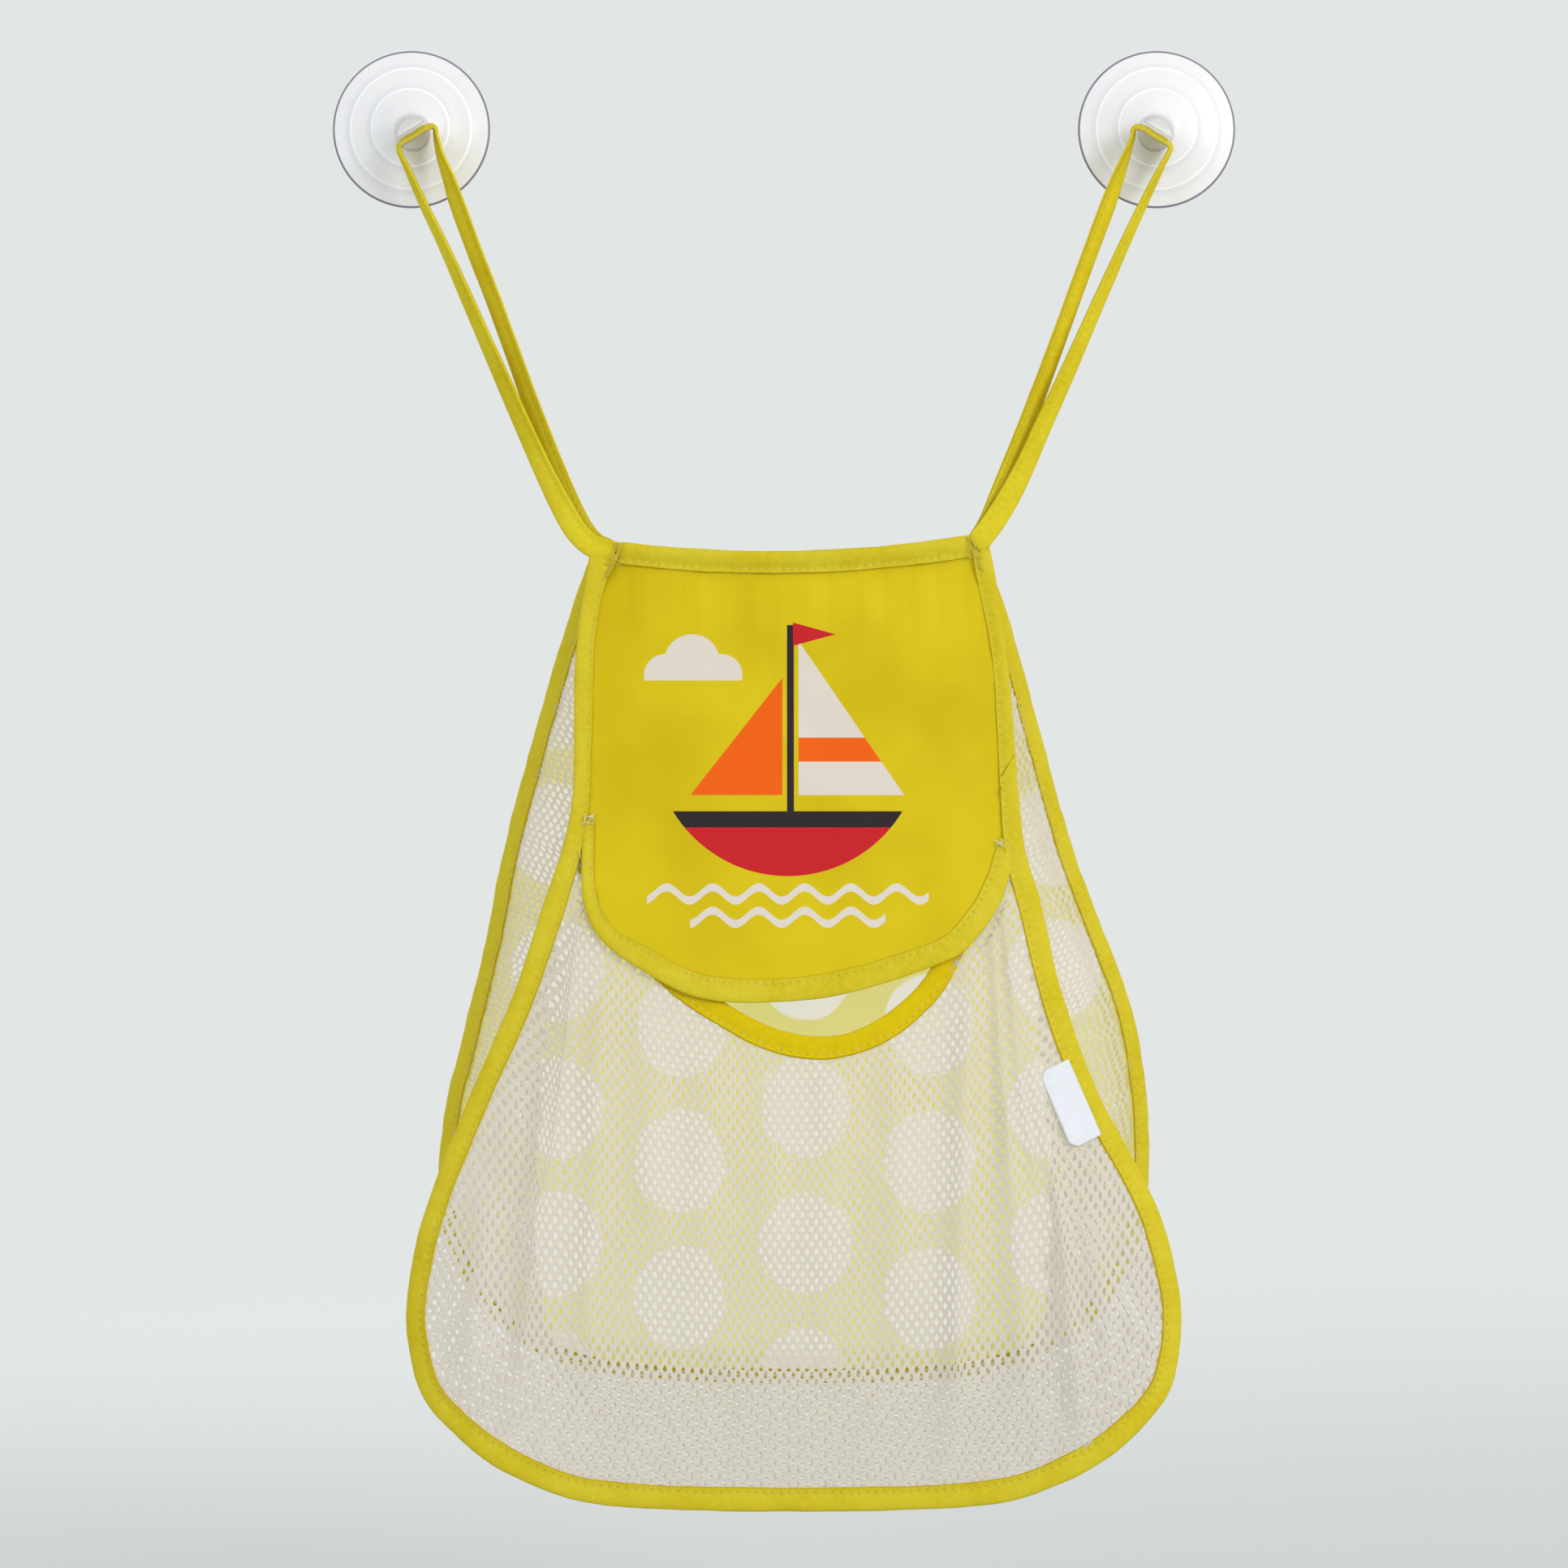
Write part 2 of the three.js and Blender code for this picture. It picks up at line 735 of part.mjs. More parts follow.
// Room for each strap where it meets the top binding, from the halves of its route.
function strapRoom({ points, widthAt }, turned) {
  const longer = lengthened(points);
  const middle = Math.round(strap_steps / 2);
  const halves = [
    { points: longer.slice(0, middle + 1), widthAt },
    { points: longer.slice(middle), widthAt: (i, tangent) => widthAt(middle + i, tangent) },
  ];
  const gaps = 2 * seat_gap;
  const [first, second] = halves.map(
    (half) => strapSolid(half, tape_width + gaps, tape_thickness + gaps, turned));
  return first.add(second);
}
const left_strap_room = strapRoom(left_strap, false);
const right_strap_room = strapRoom(right_strap, true);

// Top binding: wraps the upper edges of the face and the back, and sags a little.
const top_binding_points = [];
const top_steps = 16;
for (let i = 0; i <= top_steps; i += 1) {
  const t = i / top_steps;
  const x = THREE.MathUtils.lerp(left_seam_x - seat_gap, right_seam_x + seat_gap, t);
  const drop = THREE.MathUtils.lerp(left_seam_drop, right_seam_drop, t) + seam_sag * 4 * t * (1 - t);
  top_binding_points.push(new THREE.Vector3(x, -seam_depth, -drop));
}
const upright = new THREE.Vector3(0, 0, 1);
const top_binding = tapeAndRoom(
  top_binding_points, () => upright.clone(), tape_width, 2 * tape_thickness + seat_gap);

// Bindings of the front, the back, the mouth and the flap
const front_binding = surfaceBinding(frontDepth, front_outline);
const back_binding = surfaceBinding(backDepth, back_outline);
const edge_steps = 36;
const mouth_line = edgeLine(mouth_edge_shares, mouth_half_width, mouth_height, 0, edge_steps);
const mouth_binding = surfaceBinding(frontDepth, mouth_line);
const flap_line = edgeLine(flap_edge_shares, flap_half_width, flap_height, flap_out, edge_steps);
const flap_binding = surfaceBinding(frontDepth, flap_line);

// Blocks that part the front at the fold line and at the mouth
const far_left = -cup_spacing;
const far_right = cup_spacing;
const above_fold = blockOver([
  [far_left, -foldDrop(far_left)],
  [far_right, -foldDrop(far_right)],
  [far_right, 0],
  [far_left, 0],
]);
const below_fold = blockOver([
  [far_right, -foldDrop(far_right) - seat_gap],
  [far_left, -foldDrop(far_left) - seat_gap],
  [far_left, -top_drop - front_height - overrun],
  [far_right, -top_drop - front_height - overrun],
]);
const above_mouth = blockOver([
  [far_left, mouth_line[0].z],
  ...flat(mouth_line),
  [far_right, mouth_line[mouth_line.length - 1].z],
  [far_right, 0],
  [far_left, 0],
]);
const under_seam = tape_width / 2 + seat_gap;
const above_seam = blockOver([
  [far_left, -left_seam_drop - under_seam],
  ...flat(top_binding_points).map(([x, z]) => [x, z - under_seam]),
  [far_right, -right_seam_drop - under_seam],
  [far_right, 0],
  [far_left, 0],
]);
const flap_block = blockOver([
  ...flat(flap_line), [right_hinge_x, -top_drop], [left_hinge_x, -top_drop]]);

// Whether a place is on the front net, between its side bindings and below its mouth.
function onNet(x, z) {
  const down = (-z - top_drop) / front_height;
  const half = front_half_width * readTable(front_side_shares, down);
  const middle = bag_centre_x + front_half_width * readTable(front_side_shares, down, 2);
  const scoop = readTable(mouth_edge_shares, (x - bag_centre_x) / mouth_half_width);
  const mouth = -fold_middle_drop - mouth_height * scoop;
  return down < 1 && Math.abs(x - middle) < half && z < mouth;
}

// A staggered grid of upright openings, of which only those stay that are clear of every binding.
function netOpenings() {
  const column = (2 * front_half_width) / net_columns;
  const rowHeight = column * net_row_share;
  const margin = tape_width / 2 + net_rib;
  const [halfWidth, halfHeight] = net_opening_share.map((share) => (share * column) / 2);
  const rectangle = (x, z, border) => [[-1, -1], [1, -1], [1, 1], [-1, 1]].map(
    ([right, up]) => [x + right * (halfWidth + border), z + up * (halfHeight + border)]);
  const lowest = -top_drop - front_height + margin + net_rib + halfHeight;
  const rows = Math.floor(front_height / rowHeight);
  const kept = [];
  for (let row = 0; row < rows; row += 1) {
    for (let place = 0; place < net_columns; place += 1) {
      const shift = place - net_columns / 2 + (row % 2 === 0 ? 0.5 : 0);
      const x = bag_centre_x + shift * column;
      const z = lowest + row * rowHeight;
      const clear = rectangle(x, z, margin).every(([a, b]) => onNet(a, b));
      if (clear) kept.push(rectangle(x, z, 0));
    }
  }
  return blockOver(...kept);
}

// Sheets of the front
const across = [bag_centre_x - front_half_width, bag_centre_x + front_half_width];
const net_heights = [-top_drop - front_height, -left_hinge_drop];
const face_heights = [-right_hinge_drop, -left_seam_drop + tape_width];
const flap_heights = [-right_hinge_drop - flap_height - overrun, -left_hinge_drop];
const front_net = cut(
  sheetOn(frontDepth, net_thickness, 0, across, net_heights).intersect(front_block),
  above_mouth, front_binding.edge, mouth_binding.edge, netOpenings());
const face = cut(
  sheetOn(frontDepth, coated_thickness, 0, across, face_heights)
    .intersect(front_block).intersect(above_fold),
  above_seam, front_binding.edge);
const flap = cut(
  sheetOn(frontDepth, coated_thickness, flap_out, across, flap_heights)
    .intersect(flap_block).intersect(below_fold),
  flap_binding.edge);

// Back sheet
const back_across = [bag_centre_x - back_half_width, bag_centre_x + back_half_width];
const back_heights = [-top_drop - back_height, -top_drop];
const back = cut(
  sheetOn(backDepth, back_thickness, 0, back_across, back_heights).intersect(back_block),
  above_seam, back_binding.edge);

// Side and floor strip: one length of net from the front binding to the back binding.
function gussetStrip() {
  const across_steps = 4;
  const start = Math.round(outline_steps * gusset_start_share);
  const grid = [];
  for (let i = start; i <= outline_steps - start; i += 1) {
    const [front, rear] = [front_outline[i], back_outline[i]];
    const inward = new THREE.Vector3(bag_centre_x - rear.x, 0, 0);
    inward.setLength(gusset_tuck * readTable(gusset_tuck_shares, i / outline_steps));
    const row = [];
    for (let j = 0; j <= across_steps; j += 1) {
      const t = j / across_steps;
      row.push(rear.clone().lerp(front, t).addScaledVector(inward, Math.sin(Math.PI * t)));
    }
    grid.push(row);
  }
  return toSolid(slab(grid, net_thickness));
}
const gusset = cut(gussetStrip(), front_binding.room, back_binding.room);

// Label: a small woven tag caught under the front binding.
function labelTag() {
  const share = (label_drop - top_drop) / front_height;
  const edge = bag_centre_x + front_half_width * (readTable(front_side_shares, share)
    + readTable(front_side_shares, share, 2));
  const centre = new THREE.Vector2(edge - (tape_width + label_width) / 2, -label_drop);
  const down = new THREE.Vector2(Math.sin(label_lean), -Math.cos(label_lean));
  const right = new THREE.Vector2(-down.y, down.x);
  const out = (net_thickness + label_thickness) / 2 + lay_gap;
  const steps = 4;
  const grid = [];
  for (let i = 0; i <= steps; i += 1) {
    const column = [];
    for (let j = 0; j <= steps; j += 1) {
      const p = centre.clone().addScaledVector(right, label_width * (i / steps - 0.5) + tape_width / 4);
      p.addScaledVector(down, label_length * (0.5 - j / steps));
      column.push(onSurface(frontDepth, p.x, p.y, out));
    }
    grid.push(column);
  }
  return toSolid(slab(grid, label_thickness));
}
const label = cut(labelTag(), front_binding.room);

// Thread tack: a small pad of close stitches lying on the tape.
function threadTack(x, z, width, height, depthAt, out) {
  const grid = [-1, 0, 1].map((i) => [-1, 0, 1].map(
    (j) => onSurface(depthAt, x + (i * width) / 2, z + (j * height) / 2, out)));
  return slab(grid, tack_thickness);
}
const on_tape = (tape_thickness + tack_thickness) / 2 + seat_gap;
const on_seam = tape_thickness + tack_thickness / 2 + seat_gap * 1.5;
const seamDepth = () => seam_depth;
const cornerTack = (x, drop) => threadTack(
  x, -drop, corner_tack_width, tape_width, seamDepth, on_seam);
const flapTack = (x) => threadTack(
  x, -foldDrop(x) + tack_clear + tack_height / 2, tack_width, tack_height, frontDepth, on_tape);

// Assembly
const organizer = new THREE.Group();

function addPiece(name, geometry, finish, parent = organizer) {
  const mesh = new THREE.Mesh(geometry, new THREE.MeshStandardMaterial(finish));
  mesh.name = name;
  parent.add(mesh);
}

const cups = new THREE.Group();
addPiece('left_suction_cup', suctionCup(left_seam_x, left_seam_drop), cup_finish, cups);
addPiece('right_suction_cup', mirrored(suctionCup(right_seam_x, right_seam_drop)), cup_finish, cups);

const bag = new THREE.Group();
const addSolid = (name, solid, finish, parent) => addPiece(name, toGeometry(solid), finish, parent);
addSolid('left_strap_loop', strapSolid(left_strap, tape_width, tape_thickness, false), tape_finish, bag);
addSolid('right_strap_loop', strapSolid(right_strap, tape_width, tape_thickness, true), tape_finish, bag);
addSolid('top_binding', cut(top_binding.tape, left_strap_room, right_strap_room), tape_finish, bag);
addSolid('back_panel', back, back_finish, bag);
addSolid('back_binding', cut(back_binding.tape, above_seam, front_binding.room), tape_finish, bag);
addSolid('gusset', gusset, net_finish, bag);
addSolid('front_mesh_panel', front_net, net_finish, bag);
addSolid('mouth_binding', cut(mouth_binding.tape, front_binding.room), mouth_tape_finish, bag);
addSolid('front_binding', cut(front_binding.tape, above_seam), tape_finish, bag);
addSolid('face_panel', face, coated_finish, bag);
addSolid('label', label, label_finish, bag);
addPiece('left_corner_tack', cornerTack(left_seam_x, left_seam_drop), thread_finish, bag);
addPiece('right_corner_tack', cornerTack(right_seam_x, right_seam_drop), thread_finish, bag);
addPiece('left_flap_tack', flapTack(left_hinge_x), thread_finish, bag);
addPiece('right_flap_tack', flapTack(right_hinge_x), thread_finish, bag);

const flap_group = new THREE.Group();
addSolid('flap', flap, coated_finish, flap_group);
addSolid('flap_binding', flap_binding.tape.intersect(below_fold), tape_finish, flap_group);

bag.add(flap_group);
organizer.add(cups, bag);

export default organizer;
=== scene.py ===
# %% [markdown]
# A bath toy organizer is a sewn bag: two net walls, two sheets of coated cloth and one long folded
# tape that binds every edge. It hangs from two suction cups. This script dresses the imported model
# of it, one piece at a time, in metres and in the same frame as that model.

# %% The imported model
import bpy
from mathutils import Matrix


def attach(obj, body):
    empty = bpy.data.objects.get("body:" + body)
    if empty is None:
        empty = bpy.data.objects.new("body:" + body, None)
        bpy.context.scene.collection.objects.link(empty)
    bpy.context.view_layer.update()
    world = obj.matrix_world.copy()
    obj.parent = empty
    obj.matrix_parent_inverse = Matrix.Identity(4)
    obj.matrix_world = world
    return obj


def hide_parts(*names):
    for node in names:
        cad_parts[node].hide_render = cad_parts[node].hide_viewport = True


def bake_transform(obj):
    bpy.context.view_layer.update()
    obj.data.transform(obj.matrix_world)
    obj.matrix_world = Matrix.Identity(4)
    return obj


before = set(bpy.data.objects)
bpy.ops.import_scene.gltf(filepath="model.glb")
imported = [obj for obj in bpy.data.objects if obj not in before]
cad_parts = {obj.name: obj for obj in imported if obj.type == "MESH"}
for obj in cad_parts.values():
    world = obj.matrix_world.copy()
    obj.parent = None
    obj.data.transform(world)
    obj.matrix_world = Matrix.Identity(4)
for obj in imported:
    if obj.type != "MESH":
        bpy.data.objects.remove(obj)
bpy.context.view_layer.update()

# %% [markdown]
# Arrays do the shaping, so numpy is the main library. Sizes are written in millimetres, as they
# are read off the object, and become metres where a mesh or a shader needs them.

# %% Libraries and units
import math

import bpy
import numpy as np
from mathutils import Vector

MM = 0.001  # every size below is in millimetres, and a mesh is made in metres

# %% [markdown]
# The camera stands 1.5 m in front of the wall, level with the middle of the bag, and looks straight
# at it. A field of 598.9 mm at the wall gives the photograph's frame. It is made first, because
# the size of everything on screen follows from it.

# %% Camera
eye_distance = 1500
eye_height = -249.8
field_width = 598.9

lens = bpy.data.cameras.new("front_camera")
lens.angle = 2 * math.atan(field_width / 2 / eye_distance)
camera = bpy.data.objects.new("front_camera", lens)
camera.location = (0, -eye_distance * MM, eye_height * MM)
camera.rotation_euler = (math.radians(90), 0, 0)
bpy.context.scene.collection.objects.link(camera)
bpy.context.scene.camera = camera
bpy.context.scene.view_settings.view_transform = "Standard"
print("camera angle:", round(math.degrees(lens.angle), 2))

# %% [markdown]
# These sizes are the ones that the solid model was made with. The bag's two outlines are tables of
# shares: how far down, how wide, and how far the middle is shifted. Tables of shares keep the
# shape editable, because one named size then scales all of it.

# %% Sizes of the bag
cup_spacing = 284.4
cup_diameter = 60
cup_rise = 9.5
cup_lip = 1.1
cup_hollow = 2.2
head_diameter = 12.4
head_length = 13
head_droop = 2.6
head_tilt = math.radians(17)
slot_tilt = math.radians(32)
slot_wall = 1.4

seat_gap = 0.3
tape_width = 8.6
tape_thickness = 2
slot_height = tape_thickness + 1.6
slot_length = tape_width + 4 * seat_gap

left_seam = (-64, 162.2)  # sideways place and drop of the bar tack at each top corner
right_seam = (71.8, 159.6)
seam_sag = 5
seam_depth = 15.4

bag_centre_x = 3.4
top_drop = 158
front_height = 349
front_half_width = 138
belly_depth = 88
crown_band = 34
back_height = 317
back_half_width = 132
back_top_depth = 13.2
back_rest_depth = 3
gusset_tuck = 38

left_hinge_drop = 262
right_hinge_drop = 269.6
hinge_width_share = 0.568
flap_half_width = 74.3
flap_height = 60
flap_out = 2.5
corner_lap = 2.4  # how far the front tape runs on past its corner on the right
fold_release = 26
tack_tuck = 0.7
tack_reach_share, tack_fade_share = 0.75, 0.15  # of the way from the middle to a tack
mouth_tuck = 2.6
mouth_end_drop = 262
net_top_drop = 267
mouth_half_width = 80
mouth_height = 80.5

# %% [markdown]
# Outlines and depths are tables of shares, so that they follow the named sizes. Each table starts
# with a place along, and the other numbers of its rows are the values there.

# %% Tables of shares
# The two sides: share of the way down, then half the width there and a sideways shift, both as
# shares of half the bag's width.
front_side_shares = [
    (0.012, 0.518, -0.007), (0.12, 0.556, -0.005), (0.23, 0.567, 0.004), (0.283, 0.573, 0.007),
    (0.334, 0.593, 0.001), (0.386, 0.633, -0.002), (0.489, 0.706, -0.015), (0.59, 0.806, -0.024),
    (0.691, 0.924, -0.007), (0.743, 0.967, -0.002), (0.81, 0.995, 0.001), (0.855, 0.985, 0.003),
    (0.893, 0.952, 0.004), (0.934, 0.847, 0.005), (0.957, 0.762, 0.004), (0.975, 0.67, 0.004),
    (0.989, 0.57, 0.004), (0.996, 0.44, 0.003), (1.0, 0.2, 0.0),
]
front_widest_share = 0.81
back_side_shares = [
    (0.022, 0.548, -0.0135), (0.079, 0.597, -0.0125), (0.133, 0.638, -0.0135), (0.256, 0.722, -0.016),
    (0.372, 0.799, -0.013), (0.489, 0.88, 0.012), (0.546, 0.923, 0.021), (0.606, 0.958, 0.021),
    (0.666, 0.986, 0.012), (0.722, 1.0, 0.006), (0.779, 1.0, 0.0), (0.842, 0.975, 0.0),
    (0.905, 0.9, 0.0), (0.946, 0.8, 0.0), (0.978, 0.65, 0.0), (0.996, 0.42, 0.0), (1.0, 0.15, 0.0),
]
front_depth_shares = [  # share of the way down, depth at the edge, further depth of the crown
    (0.0, 0.0, 0.0), (0.12, 0.11, 0.0), (0.306, 0.315, 0.01), (0.489, 0.53, 0.07),
    (0.69, 0.73, 0.13), (0.834, 0.81, 0.16), (1.0, 0.83, 0.16),
]
back_lean_shares = [
    (0.0, 1.0), (0.1, 0.76), (0.2, 0.52), (0.33, 0.26), (0.5, 0.08), (0.65, 0.0), (1.0, 0.0),
]
gusset_tuck_shares = [  # share of the way round, share of the full tuck
    (0.0, 0.0), (0.1, 0.16), (0.19, 0.45), (0.25, 0.79), (0.29, 0.97), (0.33, 1.0), (0.37, 0.72),
    (0.42, 0.12), (0.46, 0.0), (0.54, 0.0), (0.58, 0.12), (0.63, 0.72), (0.67, 1.0), (0.71, 0.97),
    (0.75, 0.79), (0.81, 0.45), (0.9, 0.16), (1.0, 0.0),
]
flap_edge_shares = [
    (-0.997, -0.06), (-0.993, 0.4), (-0.955, 0.56), (-0.87, 0.69), (-0.7, 0.83), (-0.46, 0.97),
    (-0.155, 1.0), (0.164, 0.967), (0.474, 0.87), (0.77, 0.735), (0.83, 0.678), (0.915, 0.556),
    (0.955, 0.485), (0.99, 0.4), (1.02, 0.3), (1.03, 0.2), (1.031, 0.06),
]
# Tapes seen at a slant: share of the length, share of the tape's width that shows.
front_width_shares = [
    (0.0, 1.36), (0.005, 1.18), (0.011, 0.95), (0.022, 0.83), (0.06, 0.84), (0.1, 0.74),
    (0.125, 0.88), (0.15, 1.0), (0.5, 1.0), (0.86, 1.0), (0.885, 0.85), (0.92, 0.75),
    (0.95, 0.68), (0.98, 0.8), (1.0, 0.85),
]
flap_width_shares = [
    (0.0, 0.5), (0.06, 0.56), (0.14, 0.63), (0.2, 0.75), (0.27, 1.0), (0.9, 1.0), (0.95, 0.85),
    (1.0, 0.5),
]
mouth_edge_shares = [
    (-0.99, 0.1), (-0.86, 0.36), (-0.67, 0.59), (-0.48, 0.75), (-0.29, 0.87), (-0.144, 0.945),
    (0.005, 0.989), (0.153, 1.0), (0.3, 0.97), (0.45, 0.896), (0.64, 0.724), (0.7525, 0.523),
    (0.885, 0.3), (0.99, 0.1),
]
# Legs of the straps: share of the way down, share of the length outwards; then their quarter turns.
left_outer_leg_shares = [
    (0.012, 0.04), (0.06, 0.0435), (0.14, 0.0458), (0.26, 0.0465), (0.37, 0.0502), (0.49, 0.0545),
    (0.6, 0.058), (0.7, 0.061), (0.793, 0.0625), (0.88, 0.06), (0.93, 0.0535), (0.965, 0.039),
    (0.985, 0.02), (1.0, 0.0),
]
left_inner_leg_shares = [
    (0.004, -0.047), (0.026, -0.042), (0.062, -0.033), (0.118, -0.0268), (0.172, -0.0197),
    (0.284, -0.0088), (0.4, 0.0005), (0.51, 0.0114), (0.62, 0.023), (0.73, 0.033), (0.843, 0.0415),
    (0.9, 0.043), (0.94, 0.039), (0.968, 0.029), (0.986, 0.014), (1.0, 0.0),
]
right_outer_leg_shares = [
    (0.012, 0.0425), (0.05, 0.0425), (0.1, 0.0405), (0.17, 0.038), (0.27, 0.0365), (0.45, 0.036),
    (0.565, 0.036), (0.685, 0.034), (0.8, 0.033), (0.865, 0.029), (0.928, 0.0205), (0.965, 0.0125),
    (0.985, 0.006), (1.0, 0.0),
]
right_inner_leg_shares = [
    (0.004, -0.047), (0.026, -0.0435), (0.064, -0.0397), (0.122, -0.036), (0.18, -0.0323),
    (0.295, -0.0258), (0.41, -0.0184), (0.526, -0.0105), (0.642, -0.0037), (0.757, 0.0032),
    (0.873, 0.0093), (0.932, 0.0122), (0.965, 0.0095), (0.985, 0.005), (1.0, 0.0),
]
outer_twist_shares = [
    (0.0, 0.04), (0.03, 0.06), (0.085, 0.14), (0.15, 0.2), (0.26, 0.27), (0.37, 0.34), (0.49, 0.41),
    (0.6, 0.48), (0.7, 0.55), (0.79, 0.66), (0.86, 0.8), (0.93, 0.96), (1.0, 1.0),
]
inner_twist_shares = [
    (0.0, -0.04), (0.03, 0.06), (0.07, 0.18), (0.12, 0.33), (0.18, 0.44), (0.3, 0.44), (0.5, 0.45),
    (0.6, 0.48), (0.7, 0.54), (0.79, 0.65), (0.86, 0.79), (0.93, 0.96), (1.0, 1.0),
]

# %% [markdown]
# Every curve of the bag is read from those tables. A table is read with a smooth cubic between its
# rows, and a route through corner points is a centripetal Catmull-Rom curve, which never loops
# at a tight corner. Steps along a route are even, so that stitches come out at one length.

# %% Reading tables and routes
def unit(vectors):
    return vectors / np.maximum(np.linalg.norm(vectors, axis=-1, keepdims=True), 1e-9)


def read_table(table, share, column=1):
    rows = np.asarray(table, float)
    x, y = rows[:, 0], rows[:, column]
    last = len(x) - 1
    rank = np.arange(last + 1)
    before, after = np.maximum(rank - 1, 0), np.minimum(rank + 1, last)
    slope = (y[after] - y[before]) / (x[after] - x[before])
    k = np.clip(np.searchsorted(x, share, side="right") - 1, 0, last - 1)
    span = x[k + 1] - x[k]
    t = np.clip((share - x[k]) / span, 0, 1)
    ease = t * t * (3 - 2 * t)
    bend = slope[k] * (1 - t) - slope[k + 1] * t
    return y[k] * (1 - ease) + y[k + 1] * ease + span * t * (1 - t) * bend


def travelled(line):
    steps = np.linalg.norm(np.diff(line, axis=0), axis=1)
    return np.concatenate([[0], np.cumsum(steps)])


def even_steps(line, count):
    gone = travelled(line)
    at = np.linspace(0, gone[-1], count)
    return np.column_stack([np.interp(at, gone, line[:, i]) for i in range(3)])


def route(corners, count, fine_steps=24):
    """Even steps along a centripetal Catmull-Rom curve through the corners."""
    p = np.asarray(corners, float)
    p = np.vstack([2 * p[0] - p[1], p, 2 * p[-1] - p[-2]])
    knot = np.concatenate([[0], np.cumsum(np.sqrt(np.linalg.norm(np.diff(p, axis=0), axis=1)))])
    runs = []
    for k in range(1, len(p) - 2):
        s = np.linspace(knot[k], knot[k + 1], fine_steps, endpoint=False)[:, None]

        def between(a, b, i, j):
            return ((knot[j] - s) * a + (s - knot[i]) * b) / (knot[j] - knot[i])

        a1 = between(p[k - 1], p[k], k - 1, k)
        a2 = between(p[k], p[k + 1], k, k + 1)
        a3 = between(p[k + 1], p[k + 2], k + 1, k + 2)
        b1 = between(a1, a2, k - 1, k + 1)
        b2 = between(a2, a3, k, k + 2)
        runs.append(between(b1, b2, k, k + 1))
    return even_steps(np.vstack([*runs, p[-2]]), count)


# %% [markdown]
# The front of the bag is a height field over the wall: how far it stands out at each place. Cloth,
# net and tapes of the front all lie on it, so they fit each other without any measuring. The
# back leans from the seam towards the wall in the same way.

# %% Surfaces of the bag
def front_depth(x, z):
    share = (-z - top_drop) / front_height
    wide = np.where(share > front_widest_share, 1, read_table(front_side_shares, share))
    inboard = (front_half_width * wide - np.abs(x - bag_centre_x)) / crown_band
    rise = 1 - (1 - np.clip(inboard, -0.5, 1)) ** 2
    out = read_table(front_depth_shares, share) + rise * read_table(front_depth_shares, share, 2)
    return seam_depth + (belly_depth - seam_depth) * out


def back_depth(x, z):
    lean = read_table(back_lean_shares, (-z - top_drop) / back_height)
    return back_rest_depth + (back_top_depth - back_rest_depth) * lean + 0 * x


def on_surface(depth, x, z, out=0):
    x, z, out = np.broadcast_arrays(np.asarray(x, float), np.asarray(z, float), out)
    return np.stack([x, -depth(x, z) - out, z], axis=-1)


def normals_on(depth, points):
    x, z, reach = points[..., 0], points[..., 2], tape_width / 2
    right = on_surface(depth, x + reach, z) - on_surface(depth, x - reach, z)
    up = on_surface(depth, x, z + reach) - on_surface(depth, x, z - reach)
    return unit(np.cross(right, up))


def outline(side_shares, height, half_width, depth, step):
    rows = np.array(side_shares)
    z = -top_drop - height * rows[:, 0]
    left = on_surface(depth, bag_centre_x + half_width * (rows[:, 2] - rows[:, 1]), z)
    right = on_surface(depth, bag_centre_x + half_width * (rows[:, 2] + rows[:, 1]), z)
    corners = np.vstack([left, right[::-1]])
    rough = route(corners, 400)
    return even_steps(rough, int(travelled(rough)[-1] / step))


tape_step = 0.8
front_line = outline(front_side_shares, front_height, front_half_width, front_depth, tape_step)
back_line = outline(back_side_shares, back_height, back_half_width, back_depth, tape_step)
for part, line in (("front", front_line), ("back", back_line)):
    print(part, "outline:", round(travelled(line)[-1]), "mm")

left_hinge_x = bag_centre_x - front_half_width * hinge_width_share
right_hinge_x = bag_centre_x + front_half_width * hinge_width_share


def fold_drop(x):
    slope = (right_hinge_drop - left_hinge_drop) / (right_hinge_x - left_hinge_x)
    return left_hinge_drop + (x - left_hinge_x) * slope


def standing_out(x, z):
    """How far the free cloth and its tape stand out: tucked in at the tacks, loose lower down."""
    below = -z - fold_drop(x)
    free = np.clip(below / fold_release, 0, 1)
    sideways = np.abs(x - bag_centre_x) / (front_half_width * hinge_width_share)
    at_tack = np.clip((sideways - tack_reach_share) / tack_fade_share, 0, 1)
    loose = flap_out * free * free * (3 - 2 * free)
    return loose - tack_tuck * at_tack * np.exp(-(below / fold_release) ** 2)


def tucked_behind(x, z):
    """The ends of the mouth's tape lie behind the face cloth."""
    return -mouth_tuck * np.exp(-((-z - fold_drop(x)) / fold_release) ** 2)


def edge_line(shares, half_width, height, out):
    middle = (left_hinge_drop + right_hinge_drop) / 2
    rows = np.array(shares)
    flat = np.column_stack([bag_centre_x + half_width * rows[:, 0], 0 * rows[:, 0],
                            -middle - height * rows[:, 1]])
    rough = route(flat, 200)
    rough = on_surface(front_depth, rough[:, 0], rough[:, 2], out(rough[:, 0], rough[:, 2]))
    return even_steps(rough, int(travelled(rough)[-1] / tape_step))


mouth_line = edge_line(mouth_edge_shares, mouth_half_width, mouth_height, tucked_behind)
flap_line = edge_line(flap_edge_shares, flap_half_width, flap_height, standing_out)


